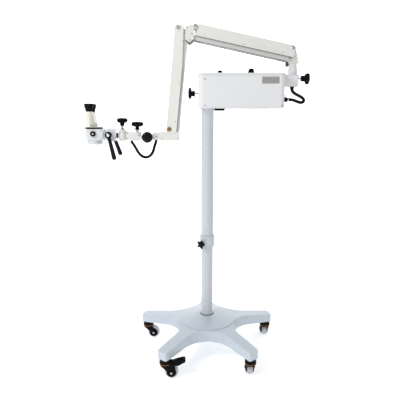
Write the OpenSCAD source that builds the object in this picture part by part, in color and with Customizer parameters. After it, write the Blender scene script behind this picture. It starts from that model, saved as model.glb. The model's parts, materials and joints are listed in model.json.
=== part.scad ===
// Floor-stand operating microscope on a five-arm caster base.
// A sliding column carries a lamp box that swivels on it. A post on the side of
// the box carries a sprung parallelogram arm and a hanging parallelogram arm,
// and a short carrier under that holds the tilting binocular head.
// Millimetres. The origin is on the floor under the column, +Z is up, and the
// head hangs on the -X side with its controls towards -Y.

/* [Base] */
// Distance from the column axis to each caster swivel
caster_r = 342; // [280:1:420]
// Outer diameter of the caster wheels
wheel_d = 63; // [50:1:80]
// Width of the caster wheels
wheel_w = 28; // [20:1:34]
// Horizontal trail of the wheel axle behind its swivel
trail = 30; // [15:1:38]
// Height of the underside of the base arms
base_z = 97; // [85:1:120]
// Wall thickness of the base casting
base_wall = 9; // [6:0.5:14]

/* [Column] */
// Outer diameter of the lower column tube
lower_d = 57; // [45:0.5:65]
// Outer diameter of the sliding upper tube
upper_d = 61; // [50:0.5:70]
// Height of the top of the lower tube
lower_top = 820; // [700:5:900]
// Height of the lower edge of the clamp collar as drawn
collar_z = 565; // [500:5:650]

/* [Lamp box] */
// Left face of the box, from the column axis
box_x0 = -44; // [-60:1:-38]
// Right face of the box
box_x1 = 354; // [300:1:400]
// Half of the depth of the box
box_y = 100; // [80:1:120]
// Height of the underside of the box
box_z = 1251; // [1100:1:1300]
// Height of the box without its lid
box_h = 143; // [120:1:180]
// Height of the lid
lid_h = 13; // [8:1:20]
// Radius of the upright corners of the box
box_r = 22; // [10:1:40]

/* [Arms] */
// Distance from the column to the axis of the arm post
post_x = 404; // [380:1:430]
// Distance between the pivots of each arm
link_l = 465.4; // [300:0.1:600]
// Rise of the sprung arm as drawn, in degrees
spring_angle = 12.06; // [-5:0.01:30]
// Outward lean of the hanging arm as drawn, in degrees
drop_angle = 5.73; // [0:0.01:40]
// Width of both arms over their covers
arm_w = 50; // [40:1:60]

/* [Carrier and head] */
// Axis of the pitch hinge, from the column
pitch_x = -290; // [-320:1:-280]
// Height of the pitch hinge
pitch_z = 1115; // [1100:1:1130]
// Vertical swivel of the carrier arm, from the column
swivel_x = -343; // [-350:1:-330]
// Vertical swivel of the head, from the column
barrel_x = -416; // [-425:1:-400]
// Tilt axis of the head, from the column
tilt_x = -474; // [-480:1:-465]
// Height of the tilt axis
tilt_z = 1125.5; // [1110:0.5:1140]
// Optical axis of the objective, from the column
scope_x = -551; // [-560:1:-545]
// Distance between the two eyepieces
pupils = 54; // [52:1:72]

/* [Hidden] */
$fn = 96;
run = 0.05; // radial clearance of a turning or sliding fit
gap = 0.3; // clearance between faces that pass each other

arm_angles = [-126, -54, 162, 18, 90];
headings = [0, 90, 0, 90, 60];
arm_tip = caster_r + 25;
arm_tip_w = 27;
arm_root_w = 32;
hub_r = 148;
web_r = 141; // radius of the concave edge between two arms
web_at = 291; // distance of its centre from the column
axle_z = wheel_d / 2;

tube_r = lower_d / 2;
slide_r = tube_r + 0.1;
upper_r = upper_d / 2;
collar_h = 58;
collar_r = 37.5;
column_knob_z = collar_z + 18;
column_knob_a = -123.5;

lid_z = box_z + box_h;
lid_top = lid_z + lid_h;
box_knob_z = box_z + 70;
block_x1 = box_x1 + 74.7;
block_y = 32;
block_z = box_z + 101.6;
socket_z = lid_top + 32.5;
yoke_z = socket_z + 19.5;
guide_z = box_z + 42;

// arm pivots as [x, z]
spring_r = [397, 1525];
spring_l = spring_r + link_l * [-cos(spring_angle), sin(spring_angle)];
low_off = [-13.2, -44];
low_r = spring_r + low_off;
low_l = spring_l + low_off;
drop_t = [-139.5, 1615.5];
drop_b = drop_t - link_l * [sin(drop_angle), cos(drop_angle)];
rear_off = [34.5, -31];
rear_t = drop_t + rear_off;
rear_b = drop_b + rear_off;

// layers across the width of the arms, as half widths
tongue_y = 13.5;
bar_y0 = 14.2;
bar_y1 = 17.5;
cover_y0 = 21;
cover_y1 = arm_w / 2;

arm_z0 = 1103;
arm_z1 = 1139;
lap_z = 1121;
lug_z0 = 1104;
lug_z1 = 1141;
eye_y = pupils / 2;
eye_x = scope_x - 17;

loop_d = 12.5;
loop_route = [
    [-373, 0, 1096.4], [-371, 0, 1088], [-364, 0, 1080], [-357, 0, 1069],
    [-350, 0, 1055], [-342, 0, 1041], [-332, 0, 1028], [-320, 0, 1019],
    [-307, 0, 1015], [-293, 0, 1017], [-281, 0, 1025], [-272, 0, 1036],
    [-266, 0, 1050], [-262, 0, 1064], [-258, 0, 1078], [-253, 0, 1090],
    [-251.5, 0, 1100.3]
];
guide_d = 12;
guide_route = [
    [404, 0, 1356], [404, 0, 1345], [406, 0, 1334], [414, 0, 1325],
    [425, 0, 1318], [437, 0, 1312], [449, 0, 1306], [459, 0, 1299],
    [464, 0, 1291], [462, 0, 1283], [454, 0, 1279], [443, 0, 1280],
    [431, 0, 1284], [419, 0, 1289], [408, 0, 1292], [396, 0, 1293],
    [386, 0, 1293]
];

painted = [0.80, 0.84, 0.90];
case_grey = [0.90, 0.91, 0.92];
ivory = [0.92, 0.92, 0.90];
cream = [0.93, 0.92, 0.87];
black = [0.08, 0.08, 0.09];
tread = [0.62, 0.63, 0.64];
steel = [0.75, 0.76, 0.78];
glass = [0.55, 0.65, 0.75];

// ---- helpers ----

// children drawn in X-Z, given thickness from y0 to y1
module across(y0, y1) {
    translate([0, y1, 0])
        rotate([90, 0, 0])
            linear_extrude(y1 - y0)
                children();
}

// the same shape on both sides of the middle plane
module both_sides(y0, y1) {
    across(y0, y1)
        children();
    across(-y1, -y0)
        children();
}

module rod_y(p, r, y0, y1) {
    translate([p[0], y1, p[1]])
        rotate([90, 0, 0])
            cylinder(r = r, h = y1 - y0);
}

module rod_x(z, r, x0, x1) {
    translate([x0, 0, z])
        rotate([0, 90, 0])
            cylinder(r = r, h = x1 - x0);
}

module rod_z(x, y, r, z0, z1) {
    translate([x, y, z0])
        cylinder(r = r, h = z1 - z0);
}

// rectangle x0..x1, y0..y1 with round corners
module round_rect(x0, x1, y0, y1, r) {
    translate([x0 + r, y0])
        square([x1 - x0 - 2 * r, y1 - y0]);
    translate([x0, y0 + r])
        square([x1 - x0, y1 - y0 - 2 * r]);
    for (x = [x0 + r, x1 - r], y = [y0 + r, y1 - r])
        translate([x, y])
            circle(r = r);
}

// moves 2-D children into a link's own frame: x along the link from p to q
module along(p, q) {
    translate(p)
        rotate(atan2(q[1] - p[1], q[0] - p[0]))
            children();
}

// plan of a clamp knob with five lobes, out to radius r
module star_plan(r) {
    circle(r = r * 0.66);
    for (a = [0:72:359])
        rotate(a) {
            translate([r * 0.76, 0])
                circle(r = r * 0.24);
            translate([0, -r * 0.24])
                square([r * 0.76, r * 0.48]);
        }
}

// clamp knob on its screw: the screw tip is at the origin and the head is up
module star_knob(screw_l, screw_r, hub_r, hub_l, head_r, head_l) {
    cylinder(r = screw_r, h = screw_l);
    translate([0, 0, screw_l])
        cylinder(r = hub_r, h = hub_l);
    translate([0, 0, screw_l + hub_l])
        linear_extrude(head_l)
            star_plan(head_r);
}

// round cable of diameter d along the points of route, which lie in one X-Z plane
module cable(route, d, sides = 10) {
    n = len(route);
    function step(i) = route[min(i + 1, n - 1)] - route[max(i - 1, 0)];
    function side(i) = [-step(i)[2], 0, step(i)[0]] / norm(step(i));
    points = [
        for (i = [0:n - 1], k = [0:sides - 1])
            route[i] + d / 2 * (cos(k * 360 / sides) * side(i) + [0, sin(k * 360 / sides), 0])
    ];
    walls = [
        for (i = [0:n - 2], k = [0:sides - 1])
            let (m = (k + 1) % sides)
                [i * sides + k, (i + 1) * sides + k, (i + 1) * sides + m, i * sides + m]
    ];
    first = [for (k = [0:sides - 1]) k];
    last = [for (k = [sides - 1:-1:0]) (n - 1) * sides + k];
    polyhedron(points, concat([first], walls, [last]));
}

// ---- base ----

// plan of the base: five arms with concave edges between them
module base_plan() {
    reach = web_at * cos(36);
    w0 = arm_root_w;
    w1 = arm_tip_w;
    r = 8;
    difference() {
        union() {
            for (a = arm_angles)
                rotate(a) {
                    polygon([[0, -w0], [reach, -w0], [arm_tip - r, -w1], [arm_tip, r - w1],
                        [arm_tip, w1 - r], [arm_tip - r, w1], [reach, w0], [0, w0]]);
                    for (y = [r - w1, w1 - r])
                        translate([arm_tip - r, y])
                            circle(r = r);
                }
            polygon([for (a = [-126, -54, 18, 90, 162], y = [-1, 1])
                [reach * cos(a) - y * w0 * sin(a), reach * sin(a) + y * w0 * cos(a)]]);
        }
        for (a = arm_angles)
            rotate(a + 36)
                translate([web_at, 0])
                    circle(r = web_r);
    }
}

// height profile of the casting
module base_profile() {
    polygon([[0, base_z + 11], [hub_r, base_z + 11], [arm_tip + 5, base_z],
        [arm_tip + 5, 138], [hub_r, 167], [hub_r, 170], [36, 193], [0, 193]]);
}

// hollow underside: a round pocket in the hub and a channel in each arm
module base_hollow() {
    difference() {
        union() {
            rod_z(0, 0, 118, base_z - 1, 152);
            for (a = arm_angles)
                rotate(a)
                    across(-20, 20)
                        polygon([[60, base_z - 1], [60, 150], [130, 150], [arm_tip - base_wall, 127],
                            [arm_tip - base_wall, base_z - 1]]);
        }
        rod_z(0, 0, tube_r + 10, base_z - 2, 153);
        for (a = arm_angles)
            rotate(a)
                rod_z(caster_r, 0, 15, base_z - 2, 153);
    }
}

module base_casting() {
    color(painted)
        difference() {
            intersection() {
                translate([0, 0, base_z])
                    linear_extrude(110)
                        base_plan();
                rotate_extrude()
                    base_profile();
            }
            base_hollow();
            rod_z(0, 0, tube_r, base_z - 1, 194);
            for (a = arm_angles)
                rotate(a)
                    rod_z(caster_r, 0, 5.5 + run, base_z - 1, 128.5);
        }
}

// ---- casters ----

// puts children at a caster's swivel, with +X towards its trailing side
module at_caster(i) {
    rotate(arm_angles[i])
        translate([caster_r, 0, 0])
            rotate(headings[i] - arm_angles[i])
                children();
}

// swivel housing, cheeks, stem and axle; braked casters carry a pedal pin
module fork(i, braked) {
    inner = wheel_w / 2 + 1.5;
    color(black)
        at_caster(i) {
            rod_z(0, 0, 5.5, 80, 128);
            rod_z(0, 0, 26.5, 78, base_z - gap);
            rod_z(0, 0, 27.2, 72, 78);
            rod_z(0, 0, 25.5, 66, 72);
            both_sides(inner, inner + 4) {
                polygon([[-21, 67], [21, 67], [trail + 20, axle_z + 9], [trail + 10, axle_z - 19],
                    [trail - 14, axle_z - 17], [trail - 21, axle_z + 5]]);
                translate([trail, axle_z])
                    circle(r = 22);
                if (braked)
                    polygon([[14, 77], [40, 79], [46, 70], [trail + 20, axle_z + 9], [14, 60]]);
            }
            rod_y([trail, axle_z], 5, -inner - 8, inner + 8);
            for (s = [-1, 1])
                rod_y([trail, axle_z], 9, s > 0 ? inner + 4 : -inner - 7, s > 0 ? inner + 7 : -inner - 4);
            if (braked)
                rod_y([39, 72], 2.5, -inner - 4, inner + 4);
        }
}

// grey tyre on a black hub, turning on the axle
module wheel(i) {
    w = wheel_w / 2;
    r = wheel_d / 2;
    color(tread)
        at_caster(i)
            translate([trail, 0, axle_z])
                rotate([90, 0, 0])
                    rotate_extrude()
                        polygon([[5 + run, -w], [10, -w], [12, -w + 3], [20, -w + 3], [22, -w], [r - 4, -w],
                            [r - 1, -w + 3], [r, -w + 8], [r, w - 8], [r - 1, w - 3], [r - 4, w],
                            [22, w], [20, w - 3], [12, w - 3], [10, w], [5 + run, w]]);
}

// brake pedal that stands up behind the wheel
module pedal(i) {
    color(black)
        at_caster(i)
            difference() {
                across(-13, 13)
                    polygon([[30, 68], [30, 80], [52, 88], [76, 95], [90, 98], [96, 92],
                        [96, 82], [80, 73], [62, 62], [50, 64]]);
                rod_y([39, 72], 2.5 + run, -14, 14);
            }
}

// ---- column ----

module lower_tube() {
    color(painted)
        difference() {
            union() {
                rod_z(0, 0, tube_r, base_z + 12, lower_top);
                rod_z(0, 0, 35, 193, 199);
            }
            rod_z(0, 0, tube_r - 3, base_z, lower_top + 1);
        }
}

module upper_tube() {
    color(painted)
        difference() {
            rod_z(0, 0, upper_r, collar_z + 25, box_z + 134);
            rod_z(0, 0, slide_r, collar_z + 24, box_z + 130);
        }
}

module clamp_collar() {
    color(painted)
        difference() {
            translate([0, 0, collar_z])
                rotate_extrude()
                    polygon([[slide_r, 0], [collar_r, 0], [collar_r, collar_h - 7], [upper_r + 1.5, collar_h],
                        [upper_r, collar_h], [upper_r, 25], [slide_r, 25]]);
            rotate(column_knob_a)
                rod_x(column_knob_z, 4 + run, slide_r - 2, collar_r + 2);
        }
}

module column_knob() {
    color(black)
        rotate(column_knob_a)
            translate([slide_r + 0.5, 0, column_knob_z])
                rotate([0, 90, 0])
                    star_knob(15, 4, 9, 8, 23, 14);
}

// ---- lamp box ----

module lamp_case() {
    wall = 3;
    color(case_grey)
        difference() {
            union() {
                difference() {
                    translate([0, 0, box_z])
                        linear_extrude(box_h)
                            round_rect(box_x0, box_x1, -box_y, box_y, box_r);
                    translate([0, 0, box_z + wall])
                        linear_extrude(box_h)
                            round_rect(box_x0 + wall, box_x1 - wall, -box_y + wall, box_y - wall, box_r - wall);
                }
                rod_z(0, 0, upper_r + 8, box_z, box_z + 132);
                rod_x(box_knob_z, 9, box_x0 + 1, -upper_r - 2);
            }
            rod_z(0, 0, upper_r + run, box_z - 1, box_z + 133);
            rod_x(box_knob_z, 4 + run, box_x0 - 1, -upper_r + 2);
            translate([box_x0 + 290, -box_y - 1, lid_z - 35])
                cube([80, wall + 2, 32]);
            translate([33, -14, box_z - 1])
                cube([49, 28, 15.02]);
            rod_x(guide_z, 9, box_x1 - wall - 1, box_x1 + 1);
        }
}

module case_lid() {
    over = 1.5;
    color(case_grey)
        difference() {
            union() {
                translate([0, 0, lid_z])
                    linear_extrude(lid_h)
                        round_rect(box_x0 - over, box_x1 + over, -box_y - over, box_y + over, box_r + over);
                translate([0, 0, lid_top - 7])
                    linear_extrude(7)
                        round_rect(box_x1 - 20, block_x1 + over, -block_y - over, block_y + over, 9);
            }
            translate([0, 0, lid_z - 1])
                linear_extrude(lid_h - 2)
                    round_rect(box_x0 + 3, box_x1 - 3, -box_y + 3, box_y - 3, box_r - 3);
            rod_z(post_x, 0, 21, lid_z, lid_top + 1);
            rod_z(55, -70, 10 + gap, lid_z, lid_top + 1);
            rod_z(200, -60, 3 + run, lid_z, lid_top + 1);
        }
}

// slatted ventilation insert in the front wall
module vent_grille() {
    x0 = box_x0 + 290;
    z0 = lid_z - 35;
    color(steel)
        translate([x0, -box_y, z0]) {
            difference() {
                cube([80, 3, 32]);
                translate([3, -1, 3])
                    cube([74, 5, 26]);
            }
            for (k = [0:3])
                translate([2, 0.5, 4 + k * 7])
                    cube([76, 2, 3.5]);
        }
}

// block beside the box with the post socket for the arm
module side_block() {
    color(case_grey)
        difference() {
            union() {
                translate([0, 0, block_z])
                    linear_extrude(lid_top - 7 - block_z)
                        round_rect(box_x1 + 0.02, block_x1, -block_y, block_y, 8);
                translate([box_x1, -block_y, block_z])
                    cube([10, 2 * block_y, lid_z - block_z]);
                rod_z(post_x, 0, 21, block_z + 2, socket_z);
            }
            rod_z(post_x, 0, 15 + run, block_z - 1, socket_z + 1);
            translate([box_x1 - 1, -block_y - 1, lid_z - 0.02])
                cube([2.52, 2 * block_y + 2, 10]);
            rod_x(lid_z - 3, 4 + run, post_x + 14, block_x1 + 1);
        }
}

module box_knob() {
    color(black)
        translate([-upper_r - 0.5, 0, box_knob_z])
            rotate([0, -90, 0])
                star_knob(30, 4, 14, 16, 28, 16);
}

module block_knob() {
    color(black)
        translate([post_x + 15.5, 0, lid_z - 3])
            rotate([0, 90, 0])
                star_knob(25.5, 4, 13.4, 18, 27.5, 22);
}

module power_button() {
    color(black) {
        rod_z(55, -70, 10, lid_top - 2, lid_top + 13);
        rod_z(55, -70, 14, lid_top - 4.2, lid_top - 2 - gap - 0.8);
        rod_z(55, -70, 5, lid_top - 12, lid_top - 2);
    }
}

module dimmer_knob() {
    color(black) {
        rod_z(200, -60, 14, lid_top + gap, lid_top + 23);
        rod_z(200, -60, 3, lid_top - 10, lid_top + 1);
    }
}

// recessed mains inlet in the floor of the box
module mains_inlet() {
    color(black)
        difference() {
            translate([33, -14, box_z - 10])
                cube([49, 28, 24]);
            translate([36, -10, box_z - 11])
                cube([43, 20, 18]);
        }
}

module lamp_house() {
    color(steel)
        difference() {
            union() {
                translate([250, -32, box_z + 3])
                    cube([80, 64, 78]);
                rod_x(guide_z, 12, 325, 345);
            }
            rod_x(guide_z, 8, 270, 346);
            translate([256, -26, box_z + 20])
                cube([50, 52, 50]);
        }
}

module cooling_fan() {
    color(black)
        difference() {
            translate([box_x0 + 290, -box_y + 8, box_z + 55])
                cube([80, 25, 80]);
            rod_y([box_x0 + 330, box_z + 95], 37, -box_y, -box_y + 15);
            rod_y([box_x0 + 330, box_z + 95], 20, -box_y + 14, -box_y + 40);
        }
}

module power_supply() {
    color(steel)
        translate([100, -60, box_z + 3])
            cube([110, 120, 55]);
}

// light-guide plug in the right wall, with its metal ferrule
module guide_connector() {
    color(black)
        difference() {
            union() {
                rod_x(guide_z, 9 - run, box_x1 - 3, box_x1 + 10);
                rod_x(guide_z, 10.5, box_x1 + 0.02, box_x1 + 30);
                rod_x(guide_z, 7.8, box_x1 + 30, box_x1 + 40);
            }
            rod_x(guide_z, 6.3, box_x1 + 28, box_x1 + 41);
        }
}

module guide_lead() {
    color(black)
        cable(guide_route, guide_d);
}

// ---- sprung arm ----

// pin of radius r across the arm at p, with round caps outside the covers
module pivot_pin(p, r = 6, cap = 10.5) {
    rod_y(p, r, -cover_y1 - 0.4, cover_y1 + 0.4);
    rod_y(p, cap, cover_y1 + gap, cover_y1 + 3);
    rod_y(p, cap, -cover_y1 - 3, -cover_y1 - gap);
}

// hollow spindle, neck and upright of the arm post
module yoke() {
    color(case_grey)
        difference() {
            union() {
                rod_z(post_x, 0, 15, block_z + 8, yoke_z);
                rod_z(post_x, 0, 18.3, socket_z + gap, yoke_z);
                rod_z(post_x, 0, 23, yoke_z, yoke_z + 4);
                across(-tongue_y, tongue_y) {
                    polygon([[381, yoke_z], [429, yoke_z], [430, yoke_z + 5], [414, 1519], [404, 1532],
                        [390, 1532], [374, 1486], [375, 1472]]);
                    translate(spring_r)
                        circle(r = 10);
                    translate(low_r)
                        circle(r = 10);
                }
                across(-5, 5)
                    polygon([[370, yoke_z - 12], [386, yoke_z - 12], [386, yoke_z + 7], [370, yoke_z + 7]]);
                pivot_pin(spring_r);
                rod_y(low_r, 4, -bar_y1 - 2, bar_y1 + 2);
            }
            rod_z(post_x, 0, 11, block_z + 7, yoke_z - 2);
        }
}

// cover and structure of the sprung arm; its left end is a tongue in the elbow
module upper_link() {
    color(ivory)
        difference() {
            union() {
                both_sides(cover_y0, cover_y1)
                    along(spring_l, spring_r) {
                        polygon([[15, 14], [9, -39], [link_l + 12.7, -39], [link_l + 12.7, 0], [link_l, 13.5], [400, 14]]);
                        translate([link_l, 0])
                            circle(r = 13.5);
                    }
                across(-cover_y1, cover_y1)
                    along(spring_l, spring_r) {
                        translate([15, 11])
                            square([link_l - 15, 3]);
                        translate([44, -33])
                            square([12, 46]);
                    }
                across(-tongue_y, tongue_y)
                    along(spring_l, spring_r) {
                        circle(r = 10);
                        polygon([[0, -9], [6, -32], [46, -32], [46, 9], [0, 9]]);
                    }
                pivot_pin(spring_l);
            }
            rod_y(spring_r, 6 + run, -cover_y1 - 1, cover_y1 + 1);
        }
}

// channel under the cover that keeps the elbow level
module lower_link() {
    color(ivory)
        difference() {
            union() {
                both_sides(bar_y0, bar_y1)
                    along(low_l, low_r) {
                        translate([0, -14.3])
                            square([link_l, 22.3]);
                        circle(r = 11);
                        translate([link_l, 0])
                            circle(r = 11);
                    }
                across(-bar_y1, bar_y1)
                    along(low_l, low_r)
                        translate([45, -14.3])
                            square([link_l - 95, 3]);
            }
            rod_y(low_r, 4 + run, -bar_y1 - 1, bar_y1 + 1);
            rod_y(low_l, 4.6, -bar_y1 - 1, bar_y1 + 1);
        }
}

// balance spring in its sleeve, hung between the ends of the upper link
module balance_spring() {
    color(steel)
        across(-9, 9)
            along(spring_l, spring_r)
                translate([56, -16])
                    square([330, 18]);
}

// level joint between the two arms
module elbow() {
    color(ivory)
        difference() {
            union() {
                both_sides(cover_y0, cover_y1) {
                    polygon([[-103, 1624], [-66, 1631], [-64.5, 1564], [-86, 1547], [-106, 1562.5]]);
                    translate(spring_l)
                        circle(r = 11);
                }
                across(-cover_y1, cover_y1)
                    polygon([[-102.5, 1602], [-102.5, 1624], [-71, 1629.5], [-71, 1602]]);
                across(-tongue_y, tongue_y) {
                    polygon([[-139, 1605.5], [-136, 1613.5], [-100, 1613.5], [-74, 1613.5], [-74, 1568], [-105, 1575]]);
                    translate(drop_t)
                        circle(r = 10);
                    translate(rear_t)
                        circle(r = 10);
                }
                pivot_pin(drop_t);
                rod_y(rear_t, 4, -bar_y1 - 2, bar_y1 + 2);
                rod_y(low_l, 4, -cover_y1 - 1, cover_y1 + 1);
            }
            rod_y(spring_l, 6 + run, -cover_y1 - 1, cover_y1 + 1);
        }
}

// ---- hanging arm ----

// cover and structure of the hanging arm, open towards the rear link
module drop_link() {
    color(ivory)
        difference() {
            union() {
                both_sides(cover_y0, cover_y1)
                    along(drop_b, drop_t) {
                        polygon([[-15, -28], [-15, 14], [link_l, 14], [link_l + 14.5, -2], [link_l + 15, -18],
                            [link_l + 13, -26.5], [290, -36.5], [-6, -36]]);
                        translate([link_l, 0])
                            circle(r = 14);
                    }
                across(-cover_y1, cover_y1)
                    along(drop_b, drop_t) {
                        translate([12, 11])
                            square([link_l - 12, 3]);
                        translate([link_l, 0])
                            difference() {
                                circle(r = 14);
                                circle(r = 11);
                                translate([-20, -20])
                                    square([40, 20]);
                                translate([-20, -20])
                                    square([20, 40]);
                            }
                    }
            }
            rod_y(drop_t, 6 + run, -cover_y1 - 1, cover_y1 + 1);
            rod_y(drop_b, 6 + run, -cover_y1 - 1, cover_y1 + 1);
        }
}

// second link of the hanging arm
module rear_link() {
    color(painted)
        difference() {
            union() {
                both_sides(bar_y0, bar_y1)
                    along(rear_b, rear_t) {
                        translate([0, -11.5])
                            square([link_l, 23]);
                        circle(r = 11.5);
                        translate([link_l, 0])
                            circle(r = 11.5);
                    }
                across(-bar_y1, bar_y1)
                    along(rear_b, rear_t)
                        translate([70, -11.5])
                            square([link_l - 150, 3]);
            }
            rod_y(rear_t, 4 + run, -bar_y1 - 1, bar_y1 + 1);
            rod_y(rear_b, 4.6, -bar_y1 - 1, bar_y1 + 1);
        }
}

// level block at the foot of the hanging arm, with the eye of the pitch hinge
module drop_bracket() {
    color(ivory)
        difference() {
            union() {
                difference() {
                    across(-20.5, 20.5)
                        polygon([[-229, 1098], [-136, 1098], [-136, 1142], [-229, 1142]]);
                    both_sides(bar_y0 - 0.4, bar_y1 + 0.4)
                        polygon([[-174, 1104], [-130, 1104], [-130, 1145], [-174, 1145]]);
                }
                across(-tongue_y, tongue_y) {
                    polygon([[-204, 1141], [-168, 1141], [drop_b[0] + 8, 1157], [drop_b[0] - 8, 1157]]);
                    translate(drop_b)
                        circle(r = 10);
                }
                across(-18, 18)
                    polygon([[-266, 1101.5], [-228, 1101.5], [-228, 1136.5], [-266, 1136.5]]);
                across(-8, 8) {
                    translate([pitch_x, pitch_z])
                        circle(r = 16);
                    polygon([[pitch_x, pitch_z - 12], [-265, pitch_z - 12], [-265, pitch_z + 14], [pitch_x, pitch_z + 14]]);
                }
                pivot_pin(drop_b);
                rod_y(rear_b, 4, -20, 20);
            }
            rod_y([pitch_x, pitch_z], 6 + run, -20, 20);
        }
}

// ---- carrier ----

// black hand knob and bolt of the pitch hinge
module pitch_knob() {
    color(black) {
        rod_y([pitch_x, pitch_z], 6, -40, 27);
        rod_y([pitch_x, pitch_z], 12, -38, -20 - gap);
        rod_y([pitch_x, pitch_z], 26.5, -57, -36);
        rod_y([pitch_x, pitch_z], 11, 20 + gap, 28);
    }
}

// fork on the pitch hinge with a flat lap under the carrier arm and a cable clip
module swivel_link() {
    color(ivory)
        difference() {
            union() {
                both_sides(8.4, 20) {
                    translate([pitch_x, pitch_z])
                        circle(r = 17);
                    polygon([[pitch_x, pitch_z - 16.5], [pitch_x, pitch_z + 16.5], [-318, 1124], [-318, 1104]]);
                }
                across(-20, 20)
                    polygon([[-308, 1103], [-308, 1127], [-320, lap_z - gap], [-324, lap_z - gap], [-324, 1104]]);
                translate([0, 0, 1104])
                    linear_extrude(lap_z - gap - 1104) {
                        translate([swivel_x, 0])
                            circle(r = 19.5);
                        translate([swivel_x, -19.5])
                            square([22, 39]);
                    }
                translate([-383, -9, 1098])
                    cube([47, 18, 4.7]);
                rod_z(swivel_x, 0, 12, 1098, 1105);
            }
            rod_y([pitch_x, pitch_z], 6 + run, -21, 21);
            rod_z(swivel_x, 0, 5 + run, 1097, lap_z + 1);
        }
}

// short arm that laps over the swivel link and holds the barrel between two lugs
module carrier_arm() {
    color(ivory)
        difference() {
            union() {
                difference() {
                    across(-18, 18)
                        polygon([[-397, 1099], [-397, 1147], [-388, arm_z1], [swivel_x, arm_z1], [swivel_x, arm_z0], [-388, arm_z0]]);
                    rod_z(swivel_x, 0, 20.3, arm_z0 - 1, lap_z);
                }
                rod_z(swivel_x, 0, 19, lap_z, arm_z1);
                for (z = [[1096, lug_z0], [lug_z1, 1149]])
                    rod_z(barrel_x, 0, 17.3, z[0], z[1]);
                translate([barrel_x, -14, 1099])
                    cube([20, 28, lug_z0 - 1099]);
                translate([barrel_x, -14, lug_z1])
                    cube([20, 28, 1147 - lug_z1]);
            }
            rod_z(swivel_x, 0, 5 + run, lap_z - 1, arm_z1 + 1);
            rod_z(barrel_x, 0, 5 + run, 1095, 1150);
        }
}

module arm_knob() {
    color(black)
        translate([swivel_x, 0, 1100])
            union() {
                cylinder(r = 5, h = 42);
                translate([0, 0, arm_z1 - 1100 + gap])
                    cylinder(r = 7, h = 12);
                translate([0, 0, 50])
                    cylinder(r1 = 12.5, r2 = 9, h = 8);
                translate([0, 0, 58])
                    cylinder(r = 9, h = 8);
                translate([0, 0, 65])
                    linear_extrude(23)
                        star_plan(27.5);
            }
}

// barrel of the head swivel, with the spigot that the tilt housing rolls on
module barrel() {
    color(ivory)
        difference() {
            union() {
                rod_z(barrel_x, 0, 17.3, lug_z0 + gap, lug_z1 - gap);
                rod_x(1121.5, 11, barrel_x - 20, barrel_x - 10);
                rod_x(1121.5, 8, tilt_x + 15, barrel_x - 10);
            }
            rod_z(barrel_x, 0, 5 + run, 1095, 1150);
        }
}

module head_knob() {
    color(black)
        translate([barrel_x, 0, 1097]) {
            cylinder(r = 5, h = 60);
            translate([0, 0, 52 + gap])
                cylinder(r1 = 13, r2 = 5, h = 12);
            translate([0, 0, 60])
                cylinder(r = 4, h = 12);
            translate([0, 0, 70])
                cylinder(r1 = 8, r2 = 12.5, h = 16);
            translate([0, 0, 86])
                linear_extrude(23)
                    star_plan(24.5);
        }
}

// toothed lock ring of the roll joint
module tilt_ring() {
    color(black)
        difference() {
            rod_x(1121.5, 13, barrel_x - 27.2, barrel_x - 20.5);
            rod_x(1121.5, 8 + run, barrel_x - 30, barrel_x - 20);
            for (a = [0:30:359])
                translate([barrel_x - 30, 0, 1121.5])
                    rotate([a, 0, 0])
                        translate([0, -1.5, 11.5])
                            cube([11, 3, 3]);
        }
}

// drum of the tilt hinge, slotted for the tongue of the microscope body
module tilt_housing() {
    color(ivory)
        difference() {
            across(-30, 30) {
                translate([tilt_x, tilt_z])
                    circle(r = 30.5);
                round_rect(tilt_x - 4, tilt_x + 28.5, tilt_z - 30.5, tilt_z + 30.5, 11);
            }
            across(-14.3, 14.3)
                translate([tilt_x, tilt_z]) {
                    circle(r = 13);
                    polygon([[0, 0], [-20, 35], [-40, 35], [-40, -35], [-20, -35]]);
                }
            rod_x(1121.5, 8 + run, tilt_x + 12, tilt_x + 32);
            rod_y([tilt_x, tilt_z], 5 + run, -31, 31);
        }
}

// clamp lever: hub and bolt on the tilt axis, round-ended grip hanging at angle a
module lever(a, reach) {
    rod_y([tilt_x, tilt_z], 5, -56, -1);
    rod_y([tilt_x, tilt_z], 8, -47, -30 - gap);
    rod_y([tilt_x, tilt_z], 16, -65, -47);
    translate([tilt_x, -56, tilt_z])
        rotate([0, 180 - a, 0])
            rotate_extrude()
                polygon([[0, 10], [8.2, 10], [10.2, reach - 8], [9, reach - 3], [6, reach - 0.5], [0, reach]]);
}

module front_lever() {
    color(black)
        lever(12.4, 121);
}

module rear_lever() {
    color(black)
        mirror([0, 1, 0])
            lever(19.5, 110);
}

module loop_cable() {
    color(black)
        cable(loop_route, loop_d);
}

// ---- head ----

module scope_body() {
    color(ivory)
        difference() {
            union() {
                difference() {
                    intersection() {
                        across(-40, 40)
                            polygon([[-594, 1153], [-594, 1124], [-583, 1101], [-500, 1101], [-500, 1153]]);
                        translate([0, 0, 1100])
                            linear_extrude(60) {
                                round_rect(-594, -540, -36, 36, 24);
                                translate([-560, -36])
                                    square([60, 72]);
                            }
                    }
                    rod_y([tilt_x, tilt_z], 31, -37, 37);
                }
                across(-14, 14)
                    translate([tilt_x, tilt_z]) {
                        circle(r = 12);
                        translate([-40, -9])
                            square([40, 18]);
                    }
                rod_z(scope_x, 0, 28.9, 1084, 1102);
            }
            rod_y([tilt_x, tilt_z], 5 + run, -15, 15);
            rod_y([scope_x, 1131], 18 + run, -31, 31);
            rod_y([scope_x, 1131], 5 + run, -37, 37);
            rod_z(scope_x, 0, 26, 1083, 1106);
            for (y = [-12, 12])
                rod_z(scope_x, y, 9, 1100, 1154);
            translate([-595, -6 - gap, 1147.5])
                cube([31, 12 + 2 * gap, 3.6]);
        }
}

// thin tab that swings a filter into the light
module filter_lever() {
    color(steel)
        translate([-612, -6, 1147.8])
            cube([34, 12, 3]);
}

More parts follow.
